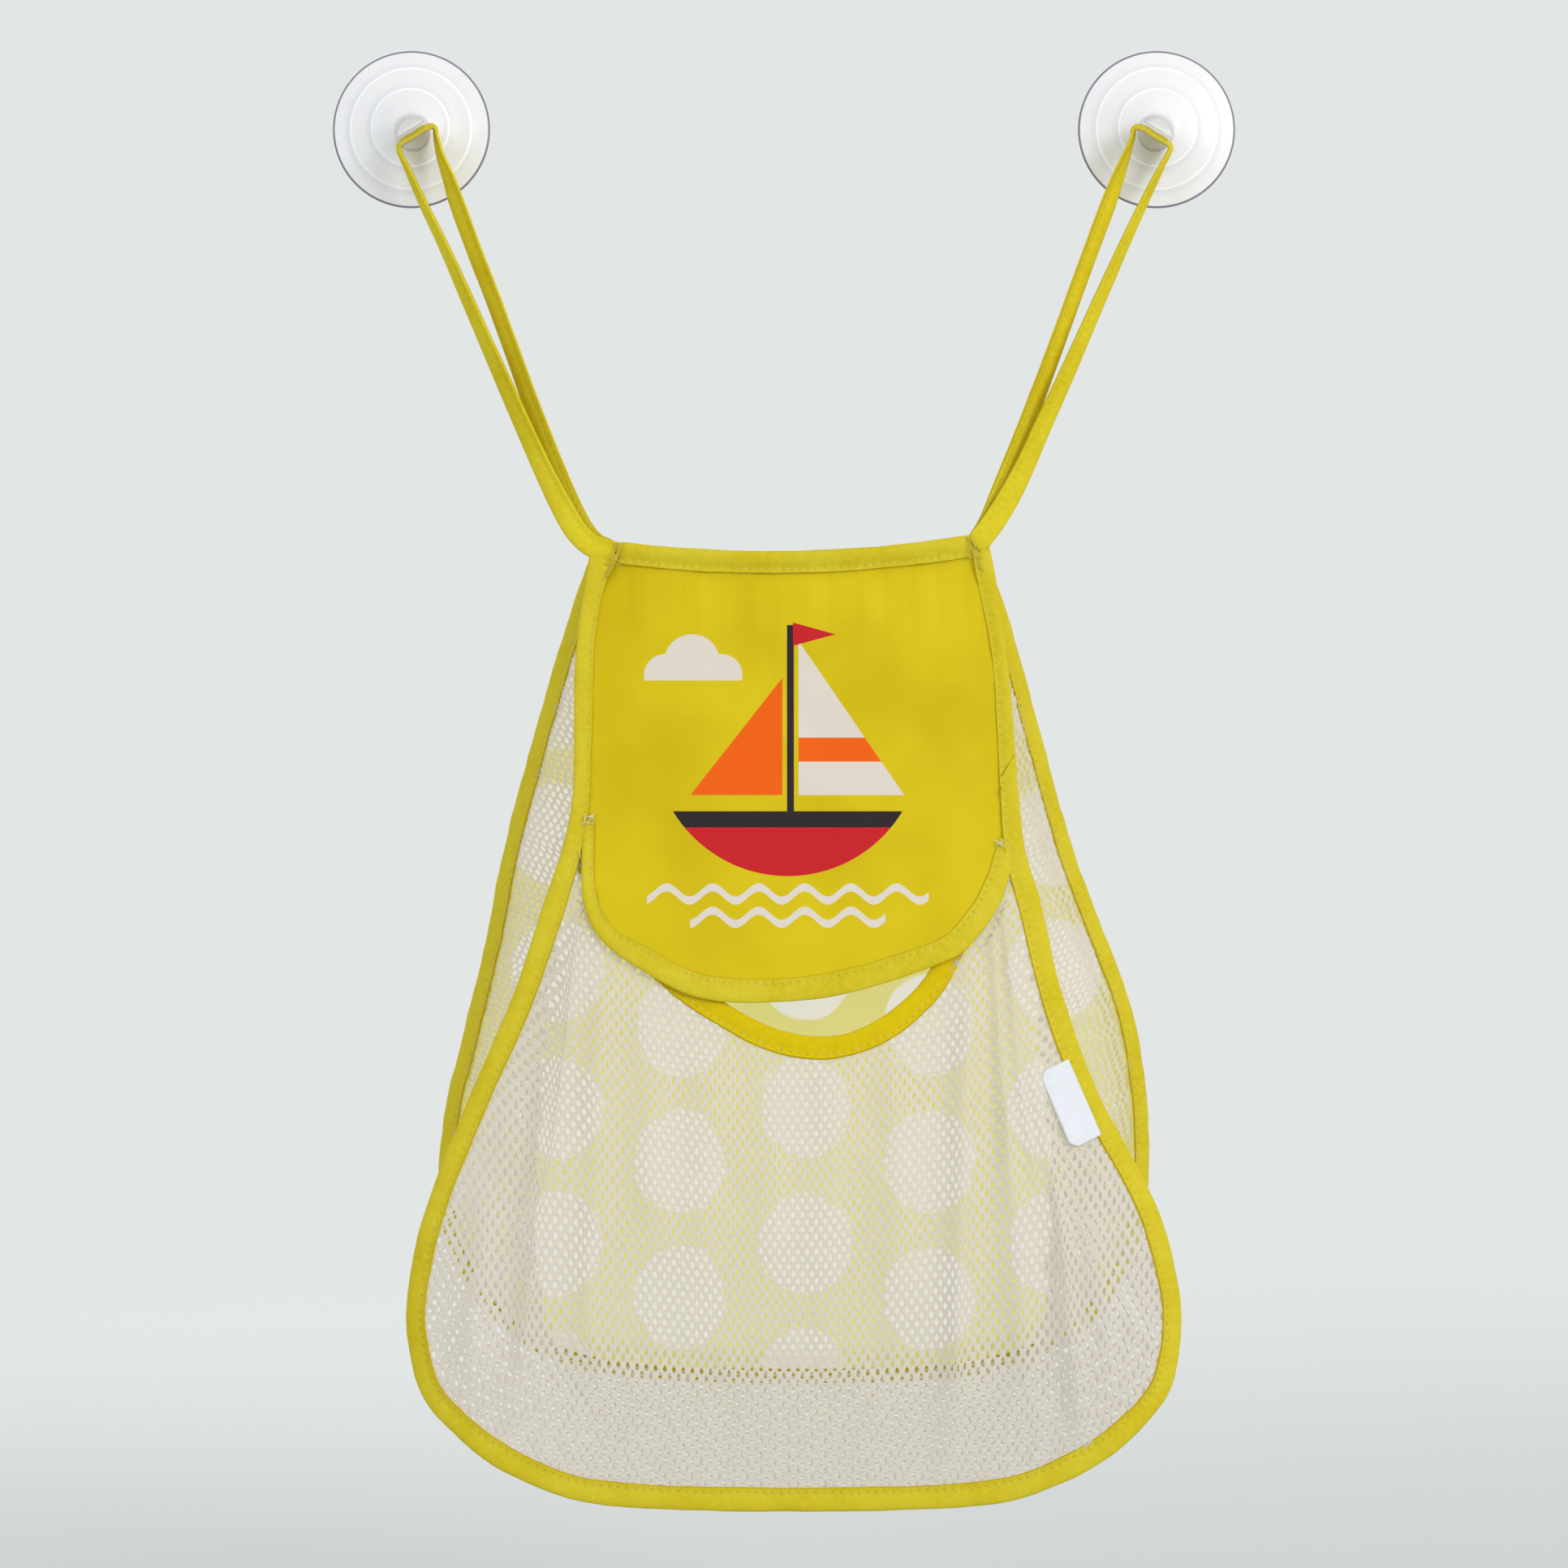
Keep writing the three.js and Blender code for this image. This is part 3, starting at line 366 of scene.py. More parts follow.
def inside(line, x, z):
    """Which places lie within the closed outline, by counting the edges to the left of each."""
    a, b = line[:, [0, 2]], np.roll(line[:, [0, 2]], -1, axis=0)
    found = np.zeros(np.shape(x), bool)
    for (ax, az), (bx, bz) in zip(a, b):
        if az != bz:
            crosses = (az > z) != (bz > z)
            found ^= crosses & (x < ax + (z - az) * (bx - ax) / (bz - az))
    return found


# %% [markdown]
# Shader maths reads best as sums. Paint wraps one socket, so that an expression such as
# (1 - mask) * 0.4 adds its Math nodes by itself. Finish holds one material and makes every
# other kind of node through one method: its type, its settings, then its values or links.

# %% Finishes as Python expressions
class Paint:
    """A socket of a finish. It takes part in sums, with numbers or sockets on either side."""

    def __init__(self, finish, socket):
        self.finish = finish
        self.socket = socket

    def math(self, operation, first, second=0.0):
        return self.finish.make("ShaderNodeMath", {"operation": operation}, {0: first, 1: second})

    def __add__(self, other):
        return self.math("ADD", self, other)

    def __sub__(self, other):
        return self.math("SUBTRACT", self, other)

    def __mul__(self, other):
        return self.math("MULTIPLY", self, other)

    def __truediv__(self, other):
        return self.math("DIVIDE", self, other)

    def __pow__(self, other):
        return self.math("POWER", self, other)

    def __lt__(self, other):
        return self.math("LESS_THAN", self, other)

    def __gt__(self, other):
        return self.math("GREATER_THAN", self, other)

    def __rsub__(self, other):
        return self.math("SUBTRACT", other, self)

    def __rtruediv__(self, other):
        return self.math("DIVIDE", other, self)

    __radd__ = __add__
    __rmul__ = __mul__

    def __abs__(self):
        return self.math("ABSOLUTE", self)

    def sine(self):
        return self.math("SINE", self)

    def rounded(self):
        return self.math("ROUND", self)

    def either(self, other):
        return self.math("MAXIMUM", self, other)

    def step(self, low, high):
        """0 at low and 1 at high, with a smooth rise between."""
        settings = {"interpolation_type": "SMOOTHSTEP"}
        return self.finish.make("ShaderNodeMapRange", settings, {0: self, 1: low, 2: high})


class Finish:
    """One material: its shader, and the nodes that paint it."""

    def __init__(self, name, **plain):
        self.material = bpy.data.materials.new(name)
        self.material.use_nodes = True
        self.tree = self.material.node_tree
        self.shader = next(n for n in self.tree.nodes if n.type == "BSDF_PRINCIPLED")
        for socket, value in plain.items():
            self.shader.inputs[socket.replace("_", " ")].default_value = value

    def make(self, kind, settings=None, feeds=None, output=0):
        node = self.tree.nodes.new(kind)
        for name, value in (settings or {}).items():
            setattr(node, name, value)
        for key, value in (feeds or {}).items():
            self.feed(node.inputs[key], value)
        return Paint(self, node.outputs[output])

    def feed(self, socket, value):
        if isinstance(value, Paint):
            self.tree.links.new(value.socket, socket)
        else:
            socket.default_value = value

    def paint(self, socket, value):
        self.feed(self.shader.inputs[socket], value)

    def mix(self, factor, first, second):
        return self.make("ShaderNodeMix", {"data_type": "RGBA"}, {0: factor, 6: first, 7: second}, 2)

    def map_place(self):
        """The piece's own map, in millimetres: across and along."""
        found = self.make("ShaderNodeUVMap", {"uv_map": "cut"})
        split = self.make("ShaderNodeSeparateXYZ", None, {0: found})
        along = Paint(self, split.socket.node.outputs[1])
        return split / MM, along / MM, found

    def noise(self, size, detail=2.0, place=None):
        """Soft noise, whose spots are about size millimetres across."""
        where = place or self.make("ShaderNodeTexCoord", None, None, 3)
        feeds = {"Vector": where, "Scale": 1 / (size * MM), "Detail": detail, "Roughness": 0.5}
        return self.make("ShaderNodeTexNoise", None, feeds)

    def surface(self, shader):
        ends = [node for node in self.tree.nodes if node.type == "OUTPUT_MATERIAL"]
        self.feed(ends[0].inputs["Surface"], shader)

    def let_through(self, share, colour):
        """Lets a share of the light through in this colour, as thin cloth does."""
        glow = self.make("ShaderNodeBsdfTranslucent", None, {"Color": colour})
        solid = Paint(self, self.shader.outputs[0])
        self.surface(self.make("ShaderNodeMixShader", None, {0: share, 1: solid, 2: glow}))

    def relief(self, height, depth):
        """Bump from a height of 0 to 1, with depth in millimetres."""
        feeds = {"Height": height, "Distance": depth * MM}
        self.paint("Normal", self.make("ShaderNodeBump", None, feeds))


def ink(red, green, blue):
    """A colour given as it looks on a screen, from 0 to 255, as the shader wants it."""
    def linear(level):
        level /= 255
        return level / 12.92 if level <= 0.04045 else ((level + 0.055) / 1.055) ** 2.4
    return (linear(red), linear(green), linear(blue), 1.0)


# %% [markdown]
# Meshes are made straight from arrays of points and faces. One helper does it for all of them: it
# drops unused points, writes the map of the cut cloth, and turns a closed form the right way out
# by the sign of its volume.

# %% Meshes from arrays
def add_piece(name, points, faces, finish, corner_map=None, closed=False, slots=None):
    """A mesh object from points in millimetres and a list of arrays of faces."""
    corners = np.concatenate([g.ravel() for g in faces])
    counts = np.concatenate([np.full(len(g), g.shape[1]) for g in faces])
    used, corners = np.unique(corners, return_inverse=True)
    points = np.asarray(points, float)[used]
    mesh = bpy.data.meshes.new(name)
    mesh.vertices.add(len(points))
    mesh.vertices.foreach_set("co", (points * MM).ravel())
    mesh.loops.add(len(corners))
    mesh.loops.foreach_set("vertex_index", corners.ravel())
    mesh.polygons.add(len(counts))
    mesh.polygons.foreach_set("loop_start", np.concatenate([[0], np.cumsum(counts)[:-1]]))
    mesh.polygons.foreach_set("use_smooth", np.ones(len(counts), bool))
    mesh.update(calc_edges=True)
    if corner_map is not None:
        layer = mesh.uv_layers.new(name="cut")
        layer.uv.foreach_set("vector", (np.asarray(corner_map, float) * MM).ravel())
    if closed and signed_volume(mesh) < 0:
        mesh.flip_normals()
    for each in finish if isinstance(finish, (list, tuple)) else [finish]:
        mesh.materials.append(each.material)
    if slots is not None:
        mesh.polygons.foreach_set("material_index", slots)
    piece = bpy.data.objects.new(name, mesh)
    bpy.context.scene.collection.objects.link(piece)
    print(f"{name}: {len(points)} points, {len(counts)} faces")
    return piece


def signed_volume(mesh):
    mesh.calc_loop_triangles()
    ids = np.empty(len(mesh.loop_triangles) * 3, int)
    mesh.loop_triangles.foreach_get("vertices", ids)
    at = np.empty(len(mesh.vertices) * 3)
    mesh.vertices.foreach_get("co", at)
    a, b, c = at.reshape(-1, 3)[ids].reshape(-1, 3, 3).transpose(1, 0, 2)
    return (a * np.cross(b, c)).sum() / 6


def tube(rings):
    """Faces that join closed rings of points, with a cap at each end."""
    count, around = rings.shape[:2]
    i, j = np.meshgrid(np.arange(count - 1), np.arange(around), indexing="ij")
    a, b = i * around + j, i * around + (j + 1) % around
    quads = np.stack([a, b, b + around, a + around], axis=-1).reshape(-1, 4)
    caps = np.stack([np.arange(around)[::-1], (count - 1) * around + np.arange(around)])
    return quads, caps, i.ravel(), j.ravel()


def wobble(at, wave, seed):
    """A gentle random wave along a length, about 1 high, the same on every run."""
    draw = np.random.default_rng(seed)
    total = np.zeros(np.shape(at))
    for octave in range(3):
        length = wave / 1.8 ** octave * draw.uniform(0.85, 1.15)
        total = total + np.sin(2 * math.pi * (at / length + draw.uniform())) / (octave + 1.5)
    return total


# %% [markdown]
# The binding is a woven tape, folded lengthwise over the edge and sewn down near its open edge. Its
# section is fullest near the fold, dips under the stitches and lifts again at the open edge.
# Sweeping that section along a route gives the tape, and a small lift between stitches gives
# its pucker. A bevelled curve could do it, but couldn't pucker.

# %% Folded tape
stitch_pitch = 3.1
stitch_length = 2.2
thread_diameter = 0.42
stitch_share = -0.56
stitch_across = (1 + stitch_share) * tape_width / 2
pucker_height = 0.2
tape_face_shares = [
    (-1.0, 0.3), (-0.97, 0.6), (-0.88, 0.66), (-0.74, 0.56), (-0.56, 0.36), (-0.38, 0.6),
    (0.0, 0.86), (0.32, 1.0), (0.62, 0.95), (0.83, 0.72), (0.95, 0.4), (1.0, 0.0),
]


class Tape:
    """A folded tape along a route: the directions at each step, and the pieces made from them."""

    def __init__(self, line, normals, fold_side, seed, thickness=tape_thickness, unevenness=1.0,
                 width_shares=((0, 1), (1, 1))):
        self.line, self.seed, self.thickness = line, seed, thickness
        self.gone = travelled(line)
        shown = read_table(width_shares, self.gone / self.gone[-1])
        self.reach = tape_width / 2 * shown
        self.shift = tape_width / 2 - self.reach  # the folded edge keeps its place where less shows
        self.tangent = unit(np.gradient(line, axis=0))
        overlap = (normals * self.tangent).sum(axis=1, keepdims=True)
        self.normal = unit(normals - overlap * self.tangent)
        self.fold = fold_side * np.cross(self.tangent, self.normal)
        self.unevenness = unevenness

    def spread(self, across, out):
        """Points at each step, from distances across and out of the tape."""
        return (self.line[:, None] + self.fold[:, None] * across[..., None]
                + self.normal[:, None] * out[..., None])

    def sway(self, along):
        return 0.18 * self.unevenness * wobble(along, 26, self.seed + 2)

    def cloth(self, name, finish):
        face = np.array(tape_face_shares)
        section = np.vstack([face, face[-2::-1] * (1, -1)])
        side = np.sign(section[:, 1])
        near = np.exp(-(((section[:, 0] - stitch_share) / 0.2) ** 2)) * side
        lift = pucker_height * np.cos(2 * math.pi * self.gone / stitch_pitch)[:, None] * near
        fuller = 1 + 0.1 * self.unevenness * wobble(self.gone, 34, self.seed)[:, None]
        wider = 1 + 0.025 * self.unevenness * wobble(self.gone, 47, self.seed + 1)[:, None]
        from_end = np.minimum(self.gone, self.gone[-1] - self.gone)[:, None]
        pressed = 0.3 + 0.7 * np.clip(from_end / 4, 0, 1)
        across = section[:, 0] * self.reach[:, None] * wider * (0.85 + 0.15 * pressed)
        across = across + self.shift[:, None]
        out = pressed * section[:, 1] * self.thickness / 2 * fuller + lift
        out = out + self.sway(self.gone)[:, None]
        rings = self.spread(across, out)
        quads, caps, i, j = tube(rings)
        edge = travelled(np.vstack([section, section[:1]]) * (tape_width / 2, self.thickness / 2))
        round_quad = ((0, 0), (1, 0), (1, 1), (0, 1))
        corner_map = np.stack([np.stack([edge[j + right], self.gone[i + on]], -1)
                               for right, on in round_quad], axis=1).reshape(-1, 2)
        cap_map = np.zeros((caps.size, 2))
        return add_piece(name, rings.reshape(-1, 3), [quads, caps], finish,
                         np.vstack([corner_map, cap_map]), closed=True)

    def stitches(self, name, finish, faces=(1, -1)):
        """A row of short threads that dive into the tape at both ends."""
        spots = np.arange(stitch_pitch, self.gone[-1] - stitch_pitch, stitch_pitch)
        at = np.interp(spots, self.gone, np.arange(len(self.gone)))
        low = np.floor(at).astype(int)
        bed = 0.36 * self.thickness / 2 + pucker_height * 0.5
        along = np.array([-0.5, -0.44, -0.2, 0.2, 0.44, 0.5]) * stitch_length
        sunk = np.array([-0.5, -0.2, 0.0, 0.0, -0.2, -0.5])
        full = np.array([0.35, 0.85, 1.0, 1.0, 0.85, 0.35]) * thread_diameter / 2
        turn = np.arange(6) * math.pi / 3
        points = []
        for side in faces:
            seam = (self.shift + self.reach * stitch_share)[low, None]
            centre = (self.line[low] + self.fold[low] * seam
                      + self.normal[low] * (side * bed + self.sway(spots))[:, None])
            thread = (self.tangent[low][:, None, None] * along[:, None, None]
                      + self.fold[low][:, None, None] * (full[:, None] * np.cos(turn))[..., None]
                      + self.normal[low][:, None, None]
                      * (side * sunk[:, None] + full[:, None] * np.sin(turn))[..., None])
            points.append((centre[:, None, None] + thread).reshape(-1, len(along) * len(turn), 3))
        points = np.concatenate(points)
        quads, caps, _, _ = tube(np.zeros((len(along), len(turn), 3)))
        offset = (np.arange(len(points)) * points.shape[1])[:, None, None]
        faces_of = [(quads + offset).reshape(-1, 4), (caps + offset).reshape(-1, len(turn))]
        return add_piece(name, points.reshape(-1, 3), faces_of, finish, closed=True)


# %% [markdown]
# The tape's cloth is a plain bias weave: two sets of fine diagonal ribs, too small to see one by
# one, with slow changes of colour along its length. The ribs are sine waves across the map of
# the tape, and both the colour and the relief use them.

# %% Finish of tape and thread
def tape_finish(name, colour, shade, seed, needle_hole_shade=0.6):
    finish = Finish(name, Roughness=0.8, Specular_IOR_Level=0.1)
    across, along, _ = finish.map_place()
    thread = 2 * math.pi / 0.45
    weave = ((across + along) * thread).sine() * 0.35 + ((across - along) * thread).sine() * 0.15 + 0.5
    slow = finish.noise(23 + seed, 3).step(0.35, 0.68)
    worn = finish.noise(2.2, 3)
    shaded = finish.mix(slow * 0.8, ink(*colour), ink(*shade))
    paler = tuple(level + more for level, more in zip(colour, (24, 24, 14)))
    woven = finish.mix(weave * worn, shaded, ink(*paler))
    # Painted shade darkens the needle holes beside each stitch.
    between = along / stitch_pitch + 0.5
    from_needle = (between - between.rounded()) * stitch_pitch
    aside = across - stitch_across
    hole = 1 - (from_needle * from_needle + aside * aside).step(0.02, 0.11)
    slanted = {0: (across + along) * 2.3, 1: (across - along) * 0.16}
    bias = finish.make("ShaderNodeCombineXYZ", None, slanted)
    streaks = finish.make("ShaderNodeTexNoise", None, {"Vector": bias, "Scale": 1.0, "Detail": 2.0})
    bright = tuple(min(255, level + 34) for level in colour)
    woven = finish.mix(streaks.step(0.52, 0.74) * 0.38, woven, ink(*bright))
    # Painted shade: the tape's inner edge is darkened where it lies on the cloth beside it.
    edge = 1 - across.step(0.3, 0.8)
    painted_edge_shade = finish.mix(edge * 0.75, woven, ink(180, 147, 0))
    finish.paint("Base Color", finish.mix(hole * needle_hole_shade, painted_edge_shade, ink(164, 136, 12)))
    finish.paint("Roughness", weave * 0.12 + 0.72)
    finish.relief(weave * 0.3 + worn * 0.4 + streaks * 0.6, 0.1)
    return finish


binding_finish = tape_finish("binding_tape", (201, 184, 40), (191, 170, 6), 0)
mouth_finish = tape_finish("mouth_tape", (204, 179, 2), (194, 166, 0), 4)
strap_finish = tape_finish("strap_tape", (209, 192, 36), (193, 171, 4), 7, needle_hole_shade=0.1)


def thread_finish(name, colour):
    finish = Finish(name, Roughness=0.6, Specular_IOR_Level=0.25)
    fine = finish.noise(0.5, 1)
    darker = tuple(level * 0.86 for level in colour)
    finish.paint("Base Color", finish.mix(fine, ink(*darker), ink(*colour)))
    finish.relief(fine, 0.05)
    return finish


stitch_finish = thread_finish("stitch_thread", (224, 211, 84))
strap_stitch_finish = thread_finish("strap_thread", (208, 191, 44))
tack_finish = thread_finish("tack_thread", (210, 196, 78))
pale_tack_finish = thread_finish("pale_tack_thread", (230, 222, 170))
# Painted shade: a thin dark tube along the crease at the join in the front tape.
join_crease_shade = thread_finish("tape_join_crease_shade", (170, 141, 10))

# %% [markdown]
# Five lengths of tape lie on surfaces of the bag: round the front, round the back, along the top
# seam, along the scooped mouth and round the flap. Each gets its route, the direction that its
# face looks in, and the side on which it is folded.

# %% Bindings
right_end = front_line[-1] + corner_lap * unit(front_line[-1] - front_line[-3])
front_run = np.vstack([front_line, right_end])
front_binding = Tape(front_run, normals_on(front_depth, front_run), 1, 11,
                     width_shares=front_width_shares)
flat_back = Tape(back_line, normals_on(back_depth, back_line), 1, 21)
back_turn = 1.0  # the side strip pulls the inner edge of the back tape forwards
back_lift = 1.3
back_facing = flat_back.normal + back_turn * flat_back.fold
back_binding = Tape(back_line + flat_back.normal * back_lift, back_facing, 1, 21)
mouth_binding = Tape(mouth_line, normals_on(front_depth, mouth_line), -1, 31)
flap_binding = Tape(flap_line, normals_on(front_depth, flap_line), 1, 41,
                    width_shares=flap_width_shares)

seam_ends = np.array([left_seam[0], right_seam[0]])
seam_drops = np.array([left_seam[1], right_seam[1]])
share = np.linspace(0, 1, int(np.ptp(seam_ends) / tape_step))
seam_line = np.column_stack([
    np.interp(share, [0, 1], seam_ends), np.full(len(share), -float(seam_depth)),
    -np.interp(share, [0, 1], seam_drops) - seam_sag * 4 * share * (1 - share)])
facing = np.tile((0.0, -1.0, 0.0), (len(share), 1))
top_binding = Tape(seam_line, facing, -1, 51, thickness=2 * tape_thickness + seat_gap)


def seam_level(x):
    return np.interp(x, seam_line[:, 0], seam_line[:, 2])



bindings = {"front_binding": front_binding, "back_binding": back_binding,
            "top_binding": top_binding, "mouth_binding": mouth_binding}
for name, tape in bindings.items():
    finish = mouth_finish if name == "mouth_binding" else binding_finish
    piece = tape.cloth(f"{name}_tape", finish)
    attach(piece, "bag")
    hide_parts(name)
    "mouth_tape" if name == "mouth_binding" else "tape"
    row = tape.stitches(f"{name}_stitches", stitch_finish)
    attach(row, "bag")

# %% [markdown]
# A strap is the same tape. It leaves the corner of the bag, runs up to the cup, goes through the
# slot edge on and comes back down behind itself. A quarter turn on the way down brings it from
# edge on in the slot to flat at the seam. It crosses the swing of the bag.

# %% Strap loops
def strap_frame(seam):
    """Where the cup's head and its slot are, for a cup on the left."""
    cup = np.array([-cup_spacing / 2, -cup_rise, 0])
    corner = np.array([-abs(seam[0]), -cup_rise, -seam[1]])
    pull = unit((corner - cup) * (1, 0, 1))
    axis = unit(np.array([0, -math.cos(head_tilt), 0]) + pull * math.sin(head_tilt))
    foot = cup + pull * head_droop
    level = np.array([math.cos(slot_tilt), 0, math.sin(slot_tilt)])
    through = unit(level - axis * (level @ axis))
    under = np.cross(through, axis)
    slot = foot + axis * (head_length - slot_wall - slot_length / 2)
    rest = slot + under * ((slot_height - tape_thickness) / 2 - seat_gap)
    return foot, axis, through, under, slot, rest


def strap_tape(seam, outer_leg, inner_leg, mirror, seed):
    _, axis, through, _, _, rest = strap_frame(seam)
    end = np.array([-abs(seam[0]), -seam_depth, -seam[1]])
    span = (end - rest) * (1, 0, 1)
    length = np.linalg.norm(span)
    along = span / length
    outward = np.array([along[2], 0, -along[0]])
    layer = (tape_thickness + seat_gap) / 2

    def place(rows, side):
        down, out = np.array(rows).T[:, :, None]
        points = rest + along * length * down + outward * length * out
        points[:, 1] = (rest[1] + (end[1] - side * layer - rest[1]) * down)[:, 0]
        return points

    half = head_diameter / 2 - 1.2
    passage = rest + through * half * np.array([[-1], [0], [1]])
    rough = route(np.vstack([place(outer_leg, 1)[::-1], passage, place(inner_leg, -1)]), 600)
    line = even_steps(rough, int(travelled(rough)[-1] / tape_step))
    tangent = unit(np.gradient(line, axis=0))
    turned = np.linalg.norm(line - rest, axis=1).argmin()
    on_outer = np.arange(len(line)) < turned
    down = np.clip((line - rest) @ along / length, 0, 1)
    quarter = np.where(on_outer, read_table(outer_twist_shares, down),
                       -read_table(inner_twist_shares, down))
    face = np.array([0, -1.0, 0])
    edge = axis + (face - axis) * np.abs(quarter)[:, None]
    edge = unit(edge - tangent * (edge * tangent).sum(axis=1, keepdims=True))
    broad = np.cross(tangent, edge)
    angle = (quarter * math.pi / 2)[:, None]
    lying = edge * np.cos(angle) + broad * np.sin(angle)
    normal = np.cross(tangent, lying)
    if mirror:
        line, normal = line * (-1, 1, 1), normal * (-1, 1, 1)
    return Tape(line, normal, -1 if mirror else 1, seed, unevenness=0.15)


straps = {"left": strap_tape(left_seam, left_outer_leg_shares, left_inner_leg_shares, False, 61),
          "right": strap_tape(right_seam, right_outer_leg_shares, right_inner_leg_shares, True, 71)}
slot_rest = strap_frame(left_seam)[5]
bend_start_drop, bend_end_drop = 10, 55
bend_start = (0, slot_rest[1] * MM, -bend_start_drop * MM)
bend_end = (0, slot_rest[1] * MM, -bend_end_drop * MM)
for side, tape in straps.items():
    piece = tape.cloth(f"{side}_strap_tape", strap_finish)
    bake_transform(piece)
    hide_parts(f"{side}_strap_loop")
    row = tape.stitches(f"{side}_strap_stitches", strap_stitch_finish, faces=(1,))
    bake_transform(row)
    print(side, "strap:", round(tape.gone[-1]), "mm of tape")

# %% [markdown]
# Cloth is cut from a fine grid. A place function says where each point of the grid lies on the bag,
# a keep function says which squares are within the cut, and the rough edge of the cut is hidden
# inside the folded tape, as it is on a sewn bag. Two layers and a rim make it a real sheet.

# %% Sheets from a grid
def cloth_sheet(name, xs, zs, place, keep, thickness, finish, map_middle=bag_centre_x,
                closed=False):
    """A sheet over a grid, from its cloth map (x, z) in millimetres to points in space."""
    x, z = np.meshgrid(xs, zs, indexing="ij")
    middle = place(x, z)
    normal = unit(np.cross(np.gradient(middle, axis=0), np.gradient(middle, axis=1)))
    points = np.concatenate([(middle + normal * thickness / 2).reshape(-1, 3),
                             (middle - normal * thickness / 2).reshape(-1, 3)])
    centre = (middle[:-1, :-1] + middle[1:, 1:]) / 2
    kept = keep(centre[..., 0], centre[..., 2])
    rows, columns = x.shape
    under = rows * columns
    i, j = np.nonzero(kept)
    a = i * columns + j
    face = np.stack([a, a + columns, a + columns + 1, a + 1], axis=1)
    rims = []
    padded = np.pad(kept, 1)
    beside = {(-1, 0): (3, 0), (1, 0): (1, 2), (0, -1): (0, 1), (0, 1): (2, 3)}
    for (di, dj), (p, q) in beside.items():
        bare = ~padded[1 + i + di, 1 + j + dj]
        rims.append(np.stack([face[bare, q], face[bare, p], face[bare, p] + under,
                              face[bare, q] + under], axis=1))
    faces = np.vstack([face, face[:, ::-1] + under, *rims])
    flat = np.stack([x.ravel() - map_middle, z.ravel()], axis=1)
    corner_map = np.concatenate([flat, flat])[faces.ravel()]
    layer = np.concatenate([np.zeros(len(face)), np.ones(len(faces) - len(face))]).astype(int)
    both = isinstance(finish, list)
    return add_piece(name, points, [faces], finish, corner_map, closed=closed,
                     slots=layer if both else None)


def cut_to(line):
    """Keeps what lies within an outline and below the middle of the top tape."""
    return lambda x, z: inside(line, x, z) & (z < seam_level(x) + tape_width / 4)


def from_line(line, x, z):
    """How far each place is from the nearest point of a line, seen from the front."""
    nearest = np.full(x.shape, np.inf)
    for line_x, _, line_z in line:
        nearest = np.minimum(nearest, np.hypot(x - line_x, z - line_z))
    return nearest


# %% [markdown]
# The face panel and the flap are one sheet of coated cloth. It is sewn in above the two side tacks
# and hangs free below them. The cloth puckers where the top tape gathers it, and has slow,
# shallow waves elsewhere. Its print is a small sailing boat over waves, drawn as areas between
# lines and circles in the map of the cloth.

# %% Finish of the face and flap
cream = (226, 217, 205)
ember = (243, 100, 8)
berry = (202, 32, 38)
coal = (46, 37, 40)


def face_finish(name, printed):
    finish = Finish(name, Roughness=0.45, Specular_IOR_Level=0.16)
    x, z, _ = finish.map_place()
    slow = finish.noise(46, 2).step(0.3, 0.7)
    colour = finish.mix(slow, ink(221, 199, 16), ink(209, 185, 0))
    if printed:
        sails = (x > 2) * (z > -254) * ((z + 196) * 0.68 < 2 - x)
        jib = (x < -4) * (z > -254) * ((z + 210) * 0.78 < x + 4)
        stripe = (abs(z + 237) < 4.5) * sails
        bowl = ((x + 2) ** 2.0 + (z + 234) * (z + 234)) < 50 ** 2
        hull = bowl * (z < -260)
        band = hull * (z > -266)
        mast = (abs(x + 1) < 1.3) * (z > -260) * (z < -190)
        flag = (x > 0) * (x < 16) * (abs(z + 193.5) * 3.6 < 16 - x)
        wave = (x * (2 * math.pi / 17)).sine() * 2.4
        waves = (abs(z + 290.5 - wave) < 1.5) * (abs(x + 2) < 52)
        waves = waves.either((abs(z + 299 - wave) < 1.5) * (abs(x + 2) < 36))
        cloud = None
        for middle_x, middle_z, radius in ((-48, -209, 8), (-38, -204, 10.5), (-27, -209, 8)):
            puff = ((x - middle_x) * (x - middle_x) + (z - middle_z) * (z - middle_z)) < radius ** 2
            cloud = puff if cloud is None else cloud.either(puff)
        cloud = cloud * (z > -211)
        for area, shade in ((cloud, cream), (waves, cream), (sails, cream), (stripe, ember), (jib, ember),
                            (hull, berry), (band, coal), (mast, coal), (flag, berry)):
            colour = finish.mix(area, colour, ink(*shade))
    finish.paint("Base Color", colour)
    grain = finish.noise(1.4, 2)
    finish.paint("Roughness", grain * 0.1 + slow * 0.06 + 0.4)
    finish.relief(grain, 0.03)
    finish.let_through(0.12, colour)
    return finish


face_print = face_finish("face_cloth", True)
face_lining = face_finish("face_cloth_reverse", False)


# %% [markdown]
# One cloth is both face and flap. The front tape bounds it above the tacks, and the flap's own
# tape bounds it below them. Close to a tape it lies quiet, so that its edge stays in the fold.

# %% Face panel and flap
pucker_reach = 9
tape_hold = 16  # how far from a tape the cloth is free to wave


